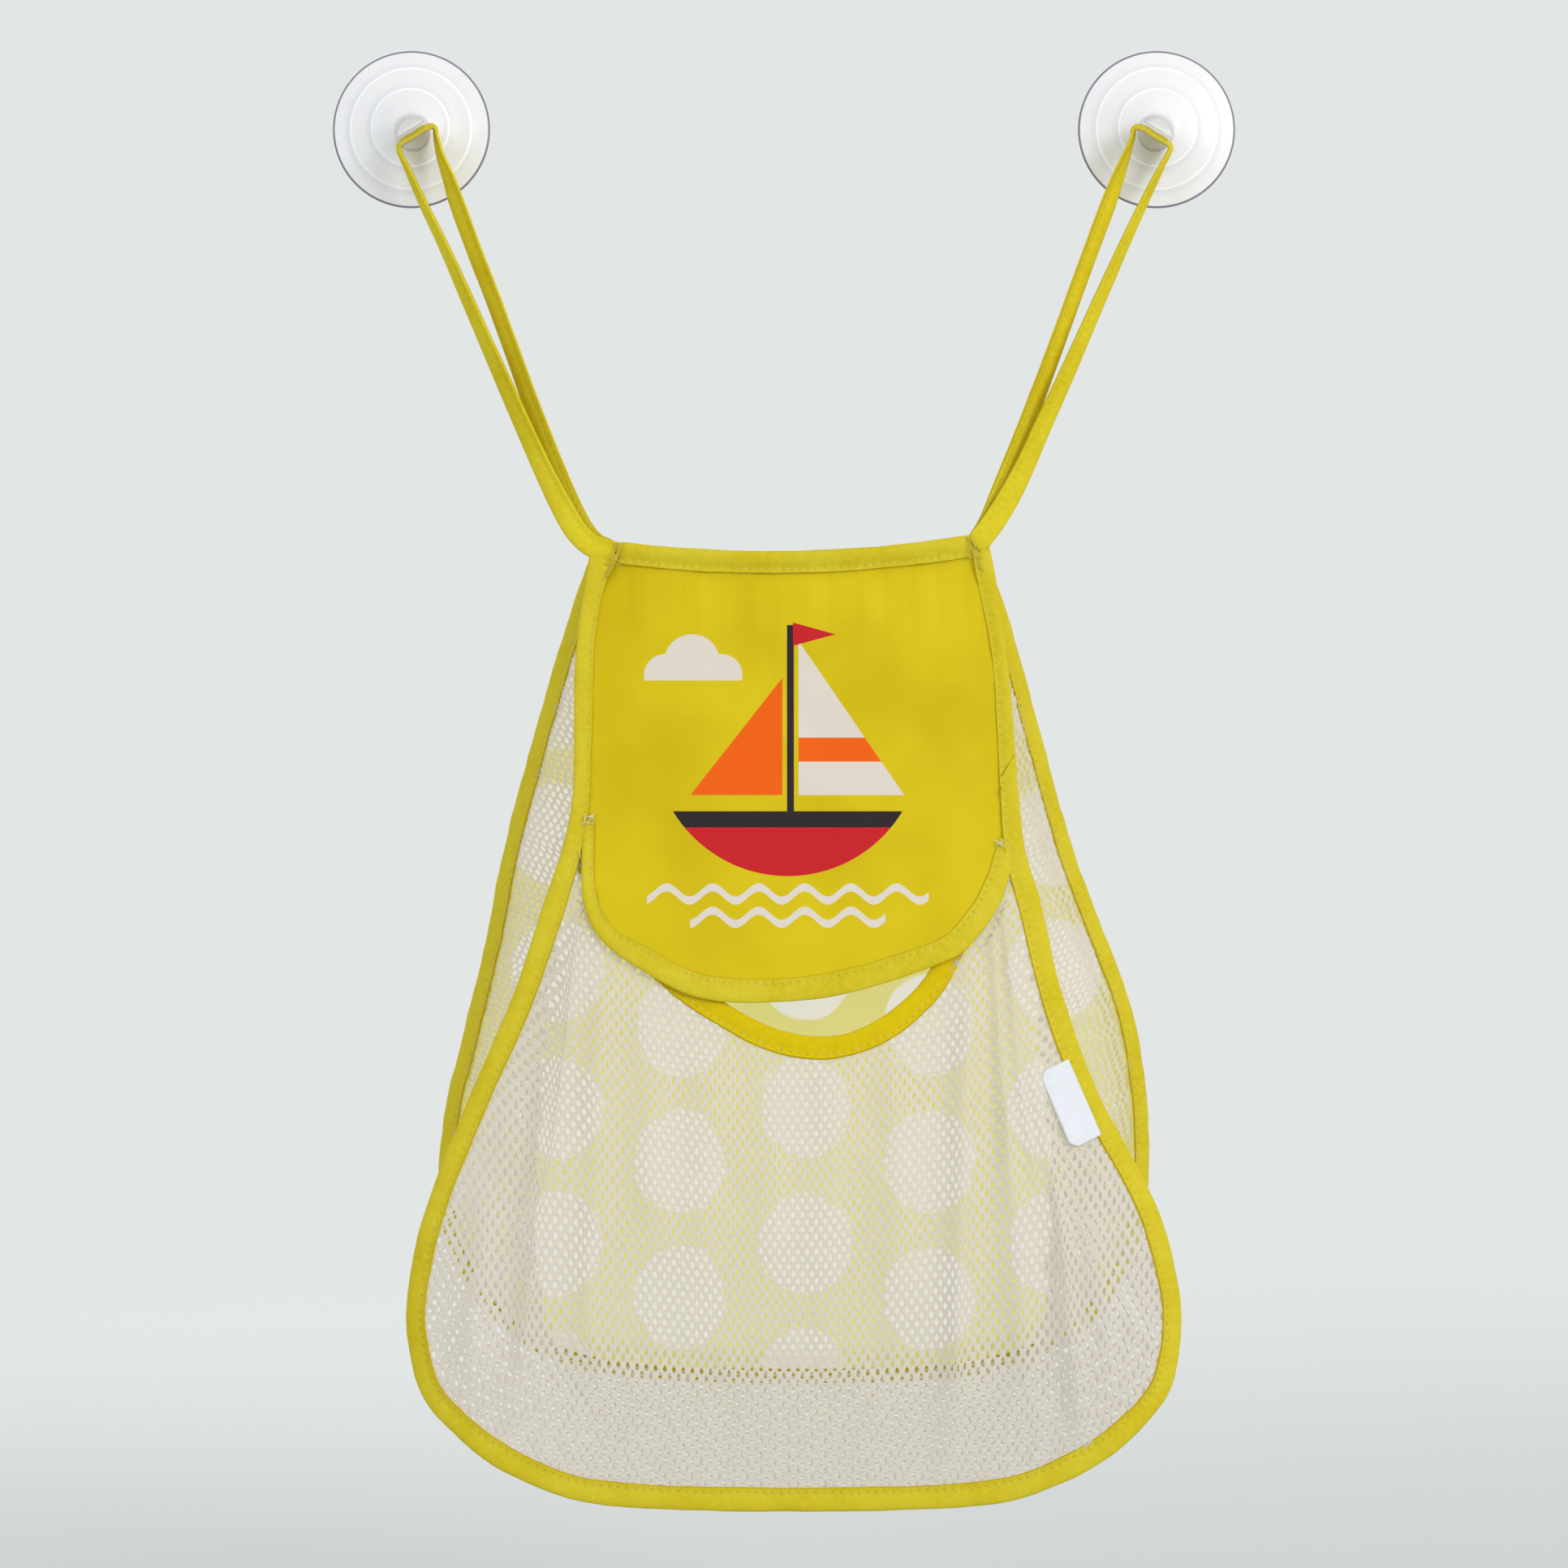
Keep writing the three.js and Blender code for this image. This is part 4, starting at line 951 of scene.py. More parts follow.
def face_place(x, z):
    """The cloth starts flat under the top tape, puckers below it and waves a little lower down."""
    under_tape = seam_level(x) - tape_width / 2
    below = np.clip((under_tape + 1 - z) / 14, 0, 1)
    drawn_in = (seam_depth - front_depth(x, z)) * (1 - below * below * (3 - 2 * below))
    from_seam = np.maximum(under_tape - z, 0) / pucker_reach
    pucker = 1.3 * from_seam * np.exp(-from_seam) * wobble(x, 19, 5)
    slow = 0.5 * wobble(x + 0.35 * z, 58, 6) * wobble(z, 71, 7)
    free = np.clip((front_half_width * 0.56 - np.abs(x - bag_centre_x)) / 14, 0, 1)
    free = free * np.clip(from_line(flap_line, x, z) / tape_hold, 0, 1)
    return on_surface(front_depth, x, z, standing_out(x, z) + drawn_in + (pucker + slow) * free)


face_outline = np.vstack([
    front_line[(front_line[:, 2] > flap_line[0, 2]) & (front_line[:, 0] < bag_centre_x)],
    flap_line,
    front_line[(front_line[:, 2] > flap_line[-1, 2]) & (front_line[:, 0] > bag_centre_x)],
])

grid_step = 1.6
face = cloth_sheet("face_and_flap_cloth", np.arange(-76, 84, grid_step),
                   np.arange(-332, -150, grid_step), face_place, cut_to(face_outline), 0.5,
                   [face_print, face_lining])
fold_middle = np.array([bag_centre_x, 0, -fold_drop(bag_centre_x)])
fold_middle[1] = -front_depth(fold_middle[0], fold_middle[2]) - flap_out
fold_slope = (right_hinge_drop - left_hinge_drop) / (right_hinge_x - left_hinge_x)
down_fold = unit(np.array([-fold_slope, 0, -1.0]))
fold_reach = 5
fold_start = tuple((fold_middle - down_fold * fold_reach) * MM)
fold_end = tuple((fold_middle + down_fold * fold_reach) * MM)
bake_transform(face)
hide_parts("face_panel", "flap")

flap_tape = flap_binding.cloth("flap_binding_tape", binding_finish)
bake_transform(flap_tape)
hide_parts("flap_binding")
flap_row = flap_binding.stitches("flap_binding_stitches", stitch_finish)
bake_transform(flap_row)

# %% [markdown]
# The back panel is a pale coated cloth with large white spots in staggered columns. The spots are
# printed a little unevenly, so noise shifts their edges. It hangs straight from the top seam
# and leans against the wall.

# %% Back panel
spot_spacing = 47.3
spot_drop = 52
spot_stagger = 31.2
spot_middle = (4.6, -321)
spot_radius = (17.3, 19.6)
edge_climb = 3.3
edge_settle = 4


def spotted_finish(name):
    finish = Finish(name, Roughness=0.5, Specular_IOR_Level=0.2)
    x, z, place = finish.map_place()
    uneven = finish.noise(27, 1, place) - 0.5
    column = ((x - spot_middle[0]) / spot_spacing).rounded()
    sideways = x - spot_middle[0] - column * spot_spacing
    odd = abs((column / 2) - (column / 2).rounded()) * 2 * spot_stagger
    level = z - spot_middle[1] - odd
    down = level - (level / spot_drop).rounded() * spot_drop
    sideways = sideways / spot_radius[0] + uneven * 0.3
    down = down / spot_radius[1] + uneven * 0.2
    reach = sideways * sideways + down * down
    spot = 1 - reach.step(0.96, 1.04)
    cloth = finish.mix(finish.noise(38, 2), ink(246, 243, 196), ink(242, 238, 184))
    colour = finish.mix(spot, cloth, ink(250, 248, 244))
    finish.paint("Base Color", colour)
    finish.let_through(0.78, colour)
    grain = finish.noise(1.2, 2)
    finish.paint("Roughness", grain * 0.1 + 0.42)
    finish.relief(grain, 0.03)
    return finish


def back_place(x, z):
    """The cloth waves a little, and turns forwards at its edge to enter the turned tape."""
    waves = 0.5 * wobble(x, 44, 8) * np.clip((-z - top_drop) / back_height, 0, 1)
    nearest = from_line(back_line, x, z)
    nearest = np.where(inside(back_line, x, z), nearest, -nearest)
    turned_up = back_turn * np.clip(nearest, -2, edge_climb) + back_lift
    turned_up = turned_up * np.exp(-(np.maximum(nearest - edge_climb, 0) / edge_settle) ** 2)
    room = np.maximum(front_depth(x, z) - back_depth(x, z), 0)
    turned_up = np.minimum(turned_up, room * 0.4)
    return on_surface(back_depth, x, z, waves * np.clip(nearest / 12, 0, 1) + turned_up)


back = cloth_sheet("back_cloth", np.arange(-132, 142, grid_step), np.arange(-478, -155, grid_step),
                   back_place, cut_to(back_line), 0.4, spotted_finish("spotted_cloth"))
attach(back, "bag")
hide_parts("back_panel")

# %% [markdown]
# The net is knitted in one piece with small drop-shaped holes, in rows that are shifted by half a
# hole. It is built as real holes: a honeycomb of six-sided cells, each with a drop of eight
# points cut out of it. The rim of each hole lies a little deeper than the strands between
# them, so the strands shade as round. An image with see-through dots would be cheaper, but
# would have no shape from the side.

# %% Net
mesh_pitch = 3.3
row_pitch = 2.6
cell_side = 0.95
drop_points = [(0, 1.32), (0.46, 0.6), (0.72, -0.25), (0.54, -0.95), (0, -1.24),
               (-0.54, -0.95), (-0.72, -0.25), (-0.46, 0.6)]
net_relief = 0.25


def net_piece(name, us, vs, place, keep, finish, stretch=1.0):
    """Net over a range of its own cloth map, wherever keep says that a cell is within the cut."""
    columns = np.arange(math.floor(us[0] / mesh_pitch), math.ceil(us[1] / mesh_pitch) + 1)
    rows = np.arange(math.floor(vs[0] / row_pitch), math.ceil(vs[1] / row_pitch) + 1)
    i, j = (a.ravel() for a in np.meshgrid(columns, rows))
    centre = np.stack([(i + 0.5 * (j % 2)) * mesh_pitch, j * row_pitch], axis=1)
    centre = centre[keep(centre[:, 0], centre[:, 1])]
    top = row_pitch - cell_side
    half = mesh_pitch / 2
    cell = np.array([(0, top), (half, cell_side), (half, -cell_side), (0, -top),
                     (-half, -cell_side), (-half, cell_side)])
    ring = (centre[:, None] + cell).reshape(-1, 2)
    hole = (centre[:, None] + np.array(drop_points) * (stretch, 1)).reshape(-1, 2)
    _, first, shared = np.unique(np.round(ring * 100).astype(int), axis=0, return_index=True,
                                 return_inverse=True)
    ring_ids = shared.reshape(-1, 6)
    hole_ids = len(first) + np.arange(len(hole)).reshape(-1, 8)
    flat = np.vstack([ring[first], hole])
    deep = np.concatenate([np.zeros(len(first)), np.full(len(hole), net_relief)])
    points = place(flat[:, 0], flat[:, 1], deep)
    h, r = hole_ids, ring_ids
    sides = ((0, 0, 1, 1), (1, 1, 2, 2), (2, 2, 3, 3), (3, 5, 6, 4), (4, 6, 7, 5), (5, 7, 0, 0))
    quads = np.concatenate([np.stack([r[:, a], h[:, b], h[:, c], r[:, d]], 1)
                            for a, b, c, d in sides])
    corners = np.concatenate([np.stack([r[:, 3], h[:, a], h[:, a + 1]], 1) for a in (3, 4)])
    corner_map = flat[np.concatenate([quads.ravel(), corners.ravel()])]
    print(name, "holes:", len(centre))
    return add_piece(name, points, [quads[:, ::-1], corners[:, ::-1]], finish, corner_map)


def net_finish(name):
    finish = Finish(name, Roughness=0.6, Specular_IOR_Level=0.2)
    x, z, _ = finish.map_place()
    loops = (x * (2 * math.pi / 0.82)).sine() * (z * (2 * math.pi / 0.65)).sine() * 0.5 + 0.5
    slow = finish.noise(30, 2)
    colour = finish.mix(loops * 0.4 + slow * 0.3, ink(242, 237, 230), ink(229, 222, 213))
    finish.paint("Base Color", colour)
    finish.let_through(0.5, colour)
    finish.relief(loops, 0.1)
    return finish


white_net = net_finish("white_net")

# %% [markdown]
# The front net hangs in a few upright folds below the mouth. Each fold is a ridge that draws the
# cloth in from both sides, so that the holes look narrow on its flanks. A fold fades out near
# the tapes, which hold the net flat.

# %% Front net
# Each row: sideways place and drop of the fold's top, the same of its bottom, half width, height.
net_folds = [
    (-76, 300, -96, 470, 6, 6.5), (-64, 322, -70, 450, 5, 4.0), (-50, 330, -46, 420, 7, 3.6),
    (-26, 350, -30, 430, 8, 2.6), (-4, 362, -6, 430, 7, 1.8), (18, 360, 14, 440, 8, 2.2),
    (40, 350, 40, 440, 7, 3.0), (67, 318, 60, 490, 6.5, 6.2), (82, 306, 86, 470, 6, 4.0),
    (99, 408, 107, 486, 5.5, 5.0), (112, 400, 118, 470, 6, 3.0), (-110, 400, -114, 468, 6, 3.0),
    (79, 280, 93, 400, 3.0, 3.4), (73, 286, 82, 395, 3.0, 3.4), (86, 300, 104, 430, 3.6, 3.4),
    (-72, 278, -84, 400, 3.0, 3.4), (-79, 296, -98, 420, 3.4, 3.4),
]
row_tilt = 0.25
row_bend = 25


def folds_at(x, z):
    """How far the folds stand out, and how far they draw the net sideways."""
    out, pull = np.zeros_like(x), np.zeros_like(x)
    for top_x, top, bottom_x, bottom, half, height in net_folds:
        t = (-z - top) / (bottom - top)
        middle = top_x + (bottom_x - top_x) * np.clip(t, -0.2, 1.2)
        fade = np.clip(t / 0.25 + 0.4, 0, 1) * np.clip((1 - t) / 0.3 + 0.3, 0, 1)
        offset = (x - middle) / half
        out += height * fade * np.exp(-offset ** 2)
        pull -= fade * 0.42 * height ** 2 / half * np.tanh(offset * 1.1) * np.exp(-(offset / 4) ** 2)
    return out, pull


def mouth_level(x, end_drop):
    return np.interp(x, mouth_line[:, 0], mouth_line[:, 2], left=-end_drop, right=-end_drop)


def front_net_place(x, z, deep=0):
    """Rows of holes rise towards the sides, and folds stand out where the net hangs free."""
    lift = row_tilt * (np.hypot(x - bag_centre_x, row_bend) - row_bend)
    z = z + lift * np.clip((z + top_drop + front_height) / 120, 0, 1)
    out, pull = folds_at(x, z)
    half = len(front_line) // 2
    left_x = np.interp(-z, -front_line[:half, 2], front_line[:half, 0])
    right_x = np.interp(-z, -front_line[:half - 1:-1, 2], front_line[:half - 1:-1, 0])
    inwards = np.minimum(x - left_x, right_x - x)
    below_mouth = np.clip((mouth_level(x, mouth_end_drop) - z - 2) / 9, 0, 1)
    free = np.clip((inwards - 3) / 6, 0, 1) * below_mouth
    slow = 0.7 * wobble(x, 37, 14) * wobble(z, 83, 15)
    tucked = tucked_behind(x, z) * (1 - below_mouth) * np.clip(inwards / 6, 0, 1)
    out = (out + slow) * free + tucked
    behind_flap = inside(face_outline, bag_centre_x + (x - bag_centre_x) * 0.93, z + tape_width / 2)
    out = np.where(behind_flap, np.minimum(out, standing_out(x, z) - 1.5), out)
    return on_surface(front_depth, x + pull * free, z, out - deep)


def front_net_keep(x, z):
    spot = front_net_place(x, z)
    across, level = spot[:, 0], spot[:, 2]
    return inside(front_line, across, level) & (level < mouth_level(across, net_top_drop))


front_net = net_piece("front_net", (-140, 150), (-510, -262), front_net_place, front_net_keep,
                      white_net)
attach(front_net, "bag")
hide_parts("front_mesh_panel")

# %% [markdown]
# The side strip is one length of the same net, from the front tape to the back tape. At the sides
# it folds inwards like the side of a paper bag, and at the bottom it is the floor. Its map runs
# along the tape and across the strip, and the strip's width follows from its shape.

# %% Gusset net
gusset_sag = 3.5
strip_start_share = 0.045
samples = 360
share_along = np.linspace(0, 1, samples)
front_edge = even_steps(front_line, samples)
rear_edge = even_steps(back_binding.line - back_binding.fold * (tape_width / 2 - 0.8)
                       + back_binding.normal * 0.5, samples)
strip_length = travelled(front_edge)[-1]


def across_strip(share, t):
    """A point of the strip: share along it, and t across it from the front tape to the back."""
    front, rear = (np.stack([np.interp(share, share_along, edge[:, k]) for k in range(3)], -1)
                   for edge in (front_edge, rear_edge))
    inward = (np.sign(bag_centre_x - rear[..., 0]) * gusset_tuck
              * read_table(gusset_tuck_shares, share))
    crease = 1.06 - np.sqrt((2 * t - 1) ** 2 + 0.0064)
    point = front + (rear - front) * t[..., None]
    point[..., 0] += inward * np.clip(crease, 0, 1)
    floor = np.clip(1 - np.abs(share - 0.5) / 0.13, 0, 1)
    point[..., 2] -= gusset_sag * floor * np.sin(math.pi * t)
    waves = wobble(share * strip_length, 31, 16) * np.sin(math.pi * t) * 1.1
    point[..., 0] += waves * (1 - floor) * np.sign(point[..., 0])
    return point


spread = across_strip(*np.meshgrid(share_along, np.linspace(0, 1, 25), indexing="ij"))
strip_width = np.linalg.norm(np.diff(spread, axis=1), axis=2).sum(axis=1)


def gusset_place(u, v, deep=0):
    share = u / strip_length
    wide = np.interp(share, share_along, strip_width)
    t = np.clip(v / wide, 0, 1)
    point = across_strip(share, t)
    ahead = across_strip(share + 0.001, t) - point
    over = across_strip(share, np.clip(t + 0.01, 0, 1.01)) - point
    return point - unit(np.cross(ahead, over)) * np.asarray(deep)[..., None]


def gusset_keep(u, v):
    share = u / strip_length
    wide = np.interp(share, share_along, strip_width)
    return (share > strip_start_share) & (share < 1 - strip_start_share) & (v > 0) & (v < wide)


# The drops lie along the strip, so the strip's length runs down the map.
gusset_stretch = 1.3
gusset = net_piece("gusset_net", (0, strip_width.max()), (-strip_length, 0),
                   lambda x, z, deep: gusset_place(-z, x, deep), lambda x, z: gusset_keep(-z, x),
                   white_net, gusset_stretch)
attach(gusset, "bag")
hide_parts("gusset")

# %% [markdown]
# A suction cup is moulded from soft PVC: a dished disc with two shallow rings, a seat that seals on
# the wall, and a clear head with a slot for the strap. The disc and the head are turned profiles.
# The slot is cut with a Boolean modifier, because a slot across a turned head can't be modelled
# as one turned form. The head is a piece of its own, so that it can be clear over a white disc.

# %% Suction cups
cup_sides = 96
disc_shares = [  # share of the radius, share of the rise
    (0.0, 1.0), (0.2, 1.0), (0.26, 0.93), (0.36, 0.72), (0.46, 0.575), (0.487, 0.565), (0.5, 0.52),
    (0.6, 0.385), (0.74, 0.245), (0.765, 0.235), (0.78, 0.19), (0.88, 0.105), (0.965, 0.03),
    (0.99, 0.012), (1.0, -0.04),
]


def turned(profile, centre, axis):
    """A form turned about an axis, from pairs of radius and height along it."""
    axis = unit(np.asarray(axis, float))
    first = unit(np.cross(axis, (0, 0, 1.0)))
    second = np.cross(axis, first)
    turn = np.arange(cup_sides) * 2 * math.pi / cup_sides
    circle = first * np.cos(turn)[:, None] + second * np.sin(turn)[:, None]
    rings = np.array([centre + axis * height + circle * radius for radius, height in profile])
    quads, caps, _, _ = tube(rings)
    return rings.reshape(-1, 3), [quads, caps]


def cut_out(piece, cutter):
    """Cuts the form of another object out of a piece, and removes that object."""
    modifier = piece.modifiers.new("cut_out", "BOOLEAN")
    modifier.object, modifier.operation, modifier.solver = cutter, "DIFFERENCE", "EXACT"
    bpy.context.view_layer.update()
    shown = piece.evaluated_get(bpy.context.evaluated_depsgraph_get())
    piece.data = bpy.data.meshes.new_from_object(shown)
    piece.modifiers.clear()
    bpy.data.objects.remove(cutter)


def disc_finish(name):
    finish = Finish(name, Roughness=0.34, Specular_IOR_Level=0.3)
    where = finish.make("ShaderNodeTexCoord", None, None, 3)
    split = finish.make("ShaderNodeSeparateXYZ", None, {0: where})
    up = Paint(finish, split.socket.node.outputs[2]) / MM
    sideways = abs(split / MM) - cup_spacing / 2
    reach = (sideways * sideways + up * up) ** 0.5
    rim = reach.step(cup_diameter / 2 - 1.0, cup_diameter / 2 - 0.5)
    haze = finish.noise(14, 2)
    colour = finish.mix(haze, ink(238, 238, 238), ink(230, 230, 232))
    # Each ring gets a painted highlight just inside its step and a band of painted shade just outside it.
    for ring in (0.5, 0.775):
        edge = ring * cup_diameter / 2
        shaded = reach.step(edge, edge + 0.5) * (1 - reach.step(edge + 0.6, edge + 3))
        ring_highlight = 1 - abs(reach - edge + 0.3).step(0.1, 0.55)
        colour = finish.mix(shaded * 0.6, colour, ink(224, 224, 227))
        colour = finish.mix(ring_highlight, colour, ink(251, 251, 252))
    finish.paint("Base Color", finish.mix(rim, colour, ink(126, 120, 138)))
    finish.paint("Roughness", haze * 0.1 + 0.3)
    finish.relief(finish.noise(5, 2), 0.03)
    return finish


def clear_finish(name, shadow_opacity):
    """Clear PVC: nearly see-through where it is looked at squarely, with painted grey shade where it
    turns away.
    """
    finish = Finish(name, Roughness=0.08, Specular_IOR_Level=0.5)
    haze = finish.noise(6, 2)
    turned_away = finish.make("ShaderNodeLayerWeight", None, {"Blend": 0.35}, 1)
    finish.paint("Base Color", finish.mix(turned_away, ink(248, 248, 249), ink(104, 100, 112)))
    finish.paint("Alpha", turned_away ** 1.5 * (0.9 - shadow_opacity) + haze * 0.02 + shadow_opacity)
    finish.paint("Roughness", haze * 0.05 + 0.05)
    return finish


white_pvc = disc_finish("white_pvc")
clear_pvc = clear_finish("clear_pvc", 0.0)
# The slot's roof is half opaque and grey: a painted shadow over the gap above the strap.
slot_shadow_pvc = clear_finish("slot_roof_shadow", 0.5)


def suction_cup(side, seam, mirror):
    foot, axis, through, under, slot, _ = strap_frame(seam)
    centre = np.array([-cup_spacing / 2, 0, 0])
    radius, rise = cup_diameter / 2, cup_rise - cup_lip
    seat = radius - 5
    face = [(radius * out, cup_lip + rise * up) for out, up in disc_shares]
    face[0] = (0.01, cup_rise)
    hollow = [(radius - 0.15, 0.0), (seat, 0.0), (seat * 0.8, cup_hollow * 0.45),
              (seat * 0.5, cup_hollow * 0.8), (0.01, cup_hollow)]
    disc = add_piece(f"{side}_cup", *turned(face + hollow, centre, (0, -1, 0)), white_pvc,
                     closed=True)
    head_radius = head_diameter / 2
    flare = [(head_radius + 0.7, -0.8), (head_radius + 0.6, 0.1), (head_radius + 0.25, 0.7),
             (head_radius + 0.05, 1.5), (head_radius, 2.4)]
    end = [(head_radius, head_length - 1.1), (head_radius - 0.3, head_length - 0.35),
           (head_radius - 1.0, head_length), (0.01, head_length)]
    both = [clear_pvc, slot_shadow_pvc]
    head_profile = [(0.01, -0.8)] + flare + end
    head = add_piece(f"{side}_head", *turned(head_profile, foot, axis), both, closed=True)
    turn = np.linspace(-math.pi / 2, math.pi / 2, 13)
    a, b = slot_length / 2, slot_height / 2
    shape = np.vstack([np.stack([a - b + b * np.cos(turn), b * np.sin(turn)], 1),
                       np.stack([-(a - b) - b * np.cos(turn), -b * np.sin(turn)], 1)])
    loop = slot + axis * shape[:, :1] + under * shape[:, 1:]
    rings = np.array([loop + through * reach for reach in (-head_diameter, head_diameter)])
    quads, caps, _, _ = tube(rings)
    # The roof of the slot takes the second finish, the painted shadow.
    roof = np.arange(len(quads) + len(caps)) == len(shape) - 1
    cutter = add_piece(f"{side}_slot", rings.reshape(-1, 3), [quads, caps], both, closed=True,
                       slots=roof)
    cut_out(head, cutter)
    bevel = head.modifiers.new("soft_edges", "BEVEL")
    bevel.width, bevel.segments, bevel.angle_limit = 0.25 * MM, 2, math.radians(50)
    for piece in (disc, head):
        if mirror:
            piece.data.transform(((-1, 0, 0, 0), (0, 1, 0, 0), (0, 0, 1, 0), (0, 0, 0, 1)))
            piece.data.flip_normals()
        piece.data.shade_smooth()
        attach(piece, "cups")
    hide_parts(f"{side}_suction_cup")
    print(side, "cup:", len(disc.data.polygons) + len(head.data.polygons), "faces")


suction_cup("left", left_seam, False)
suction_cup("right", right_seam, True)

# %% [markdown]
# The label is a bare loop of white woven tape, caught under the front binding. Its corners are
# rounded, and it curls away from the net a little.

# %% Label
label_width = 12
label_length = 29.5
label_drop = 366.5
label_lean = math.radians(23)
label_corner = 3.2
label_thickness = 0.6
label_curl = 0.9


def label_finish(name):
    finish = Finish(name, Roughness=0.6, Sheen_Weight=0.2)
    x, z, _ = finish.map_place()
    weave = (x * (2 * math.pi / 0.5)).sine() * (z * (2 * math.pi / 0.4)).sine() * 0.5 + 0.5
    shade = finish.mix(weave * finish.noise(2, 2), ink(230, 235, 240), ink(206, 211, 217))
    finish.paint("Base Color", shade)
    finish.relief(weave, 0.08)
    return finish


def label_place(x, z):
    """The corners at the free side are drawn in to a round, and the whole leans with the tape."""
    share = (label_drop - top_drop) / front_height
    tape_x = bag_centre_x + front_half_width * (read_table(front_side_shares, share)
                                                + read_table(front_side_shares, share, 2))
    middle = np.array([tape_x - (tape_width + label_width) / 2 + tape_width / 4, -label_drop])
    down = np.array([math.sin(label_lean), -math.cos(label_lean)])
    right = np.array([-down[1], down[0]])
    past_x = label_corner - label_width / 2 - x
    past_z = label_corner - label_length / 2 + np.abs(z)
    over = np.hypot(np.maximum(past_x, 0), np.maximum(past_z, 0)) - label_corner
    over = np.maximum(over, 0)
    a, b = x + over * (x < 0), z - np.sign(z) * over * (past_x > 0)
    flat = middle + right * a[..., None] + down * b[..., None]
    curl = label_curl * np.clip(-a / label_width + 0.3, 0, 1) ** 2 * (1.2 + np.sin(b / 7))
    return on_surface(front_depth, flat[..., 0], flat[..., 1], 1.1 + curl)


label = cloth_sheet("label_tag", np.linspace(-label_width / 2, label_width / 2, 19),
                    np.linspace(label_length / 2, -label_length / 2, 61), label_place,
                    lambda x, z: np.ones(x.shape, bool), label_thickness,
                    label_finish("label_weave"), map_middle=0, closed=True)
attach(label, "bag")
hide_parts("label")


# %% [markdown]
# The tacks are bars of thread: close zigzags with a cross at each top corner, and a few short loose
# threads where the flap begins. Each thread is a thin tube along a route of its own.

# %% Tacks
def thread_path(name, corners, diameter, finish):
    """A thread along straight runs between corners, as a mesh tube."""
    line = even_steps(np.asarray(corners, float), 14 * (len(corners) - 1) + 1)
    line[1:-1] = (line[:-2] + 2 * line[1:-1] + line[2:]) / 4
    tangent = unit(np.gradient(line, axis=0))
    side = unit(np.cross(tangent, (0, -1.0, 0)))
    other = np.cross(tangent, side)
    turn = (np.arange(6) * math.pi / 3)[:, None]
    circle = side[:, None] * np.cos(turn) + other[:, None] * np.sin(turn)
    rings = line[:, None] + circle * diameter / 2
    quads, caps, _, _ = tube(rings)
    return add_piece(name, rings.reshape(-1, 3), [quads, caps], finish, closed=True)


tack_thread = 0.34


def tack(name, node, middle, inward, depth_at, finish, runs):
    """Bars of zigzag thread over a middle place. A run is its two ends, measured inwards and up
    from the middle, then its width and turns, and how far out of the front each end lies."""
    for number, (first, last, width, turns, low, high) in enumerate(runs):
        share = np.linspace(0, 1, turns)[:, None]
        ends = np.array([first, last]) * (inward, 1)
        line = middle + ends[0] + (ends[1] - ends[0]) * share
        swing = unit((ends[1] - ends[0]) @ np.array([[0, 1], [-1, 0]])) * width / 2
        line = line + swing * np.where(np.arange(turns) % 2 == 0, 1, -1)[:, None]
        out = low + (high - low) * share[:, 0] + 0.15 * (np.arange(turns) % 2)
        corners = np.column_stack([line[:, 0], -depth_at(line) - out, line[:, 1]])
        piece = thread_path(f"{name}_{number + 1}", corners, tack_thread, finish)
        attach(piece, "bag")
        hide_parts(node)


def on_front(line):
    return front_depth(line[:, 0], line[:, 1])


def on_seam(line):
    return np.maximum(on_front(line), seam_depth)


top_face = tape_thickness * 1.15
side_face = tape_thickness * 0.55
for side, seam, inward in (("left", left_seam, 1), ("right", right_seam, -1)):
    place = np.array([seam[0], -seam[1]])
    tack(f"{side}_corner_thread", f"{side}_corner_tack", place, inward, on_seam, tack_finish, [
        ((1.2, 3.9), (-0.9, -3.2), 0.7, 13, top_face, top_face),
        ((2.5, 3.7), (0.4, -3.3), 0.7, 13, top_face, top_face),
        ((-3.6, -0.6), (2.8, -4.0), 0.3, 4, top_face, top_face * 0.8),
        ((-2.8, -4.4), (2.4, -4.6), 1.0, 8, top_face * 0.7, top_face * 0.6),
        ((-1.2, -5.4), (-3.0, -10.0), 1.3, 9, side_face, side_face),
    ])

near, clear = tape_thickness * 0.5, tape_thickness * 0.62
flap_runs = {
    "left": [
        ((0.4, -2.1), (4.3, -2.4), 0, 3, clear, near),
        ((0.7, -0.6), (4.5, 1.1), 0, 3, clear, near),
        ((1.2, 1.1), (0.4, -3.0), 0.3, 4, clear, clear),
        ((4.1, 1.2), (4.3, -1.6), 0.3, 3, near, near),
        ((1.4, -3.1), (3.6, 0.4), 0, 3, clear, near),
        ((-0.9, -13.0), (-0.5, -15.6), 0, 3, near, near),
    ],
    "right": [
        ((3.5, -1.2), (-0.4, -3.8), 0, 3, near, clear),
        ((3.2, -2.9), (0.0, -1.5), 0, 3, near, clear),
        ((2.6, -1.4), (-0.2, -2.8), 0, 3, near, clear),
        ((0.9, -3.6), (0.6, -0.6), 0, 3, clear, clear),
    ],
}
for side, hinge_x, inward in (("left", left_hinge_x, 1), ("right", right_hinge_x, -1)):
    place = np.array([hinge_x, -fold_drop(hinge_x)])
    tack(f"{side}_flap_thread", f"{side}_flap_tack", place, inward, on_front, pale_tack_finish,
         flap_runs[side])

# %% [markdown]
# The long front tape is made of two lengths. Their ends are joined on the slant, as bias tape
# always is, and the join shows as a fine broken crease just above the right flap tack. Its
# shade is painted: a thin dark tube lies along the crease.

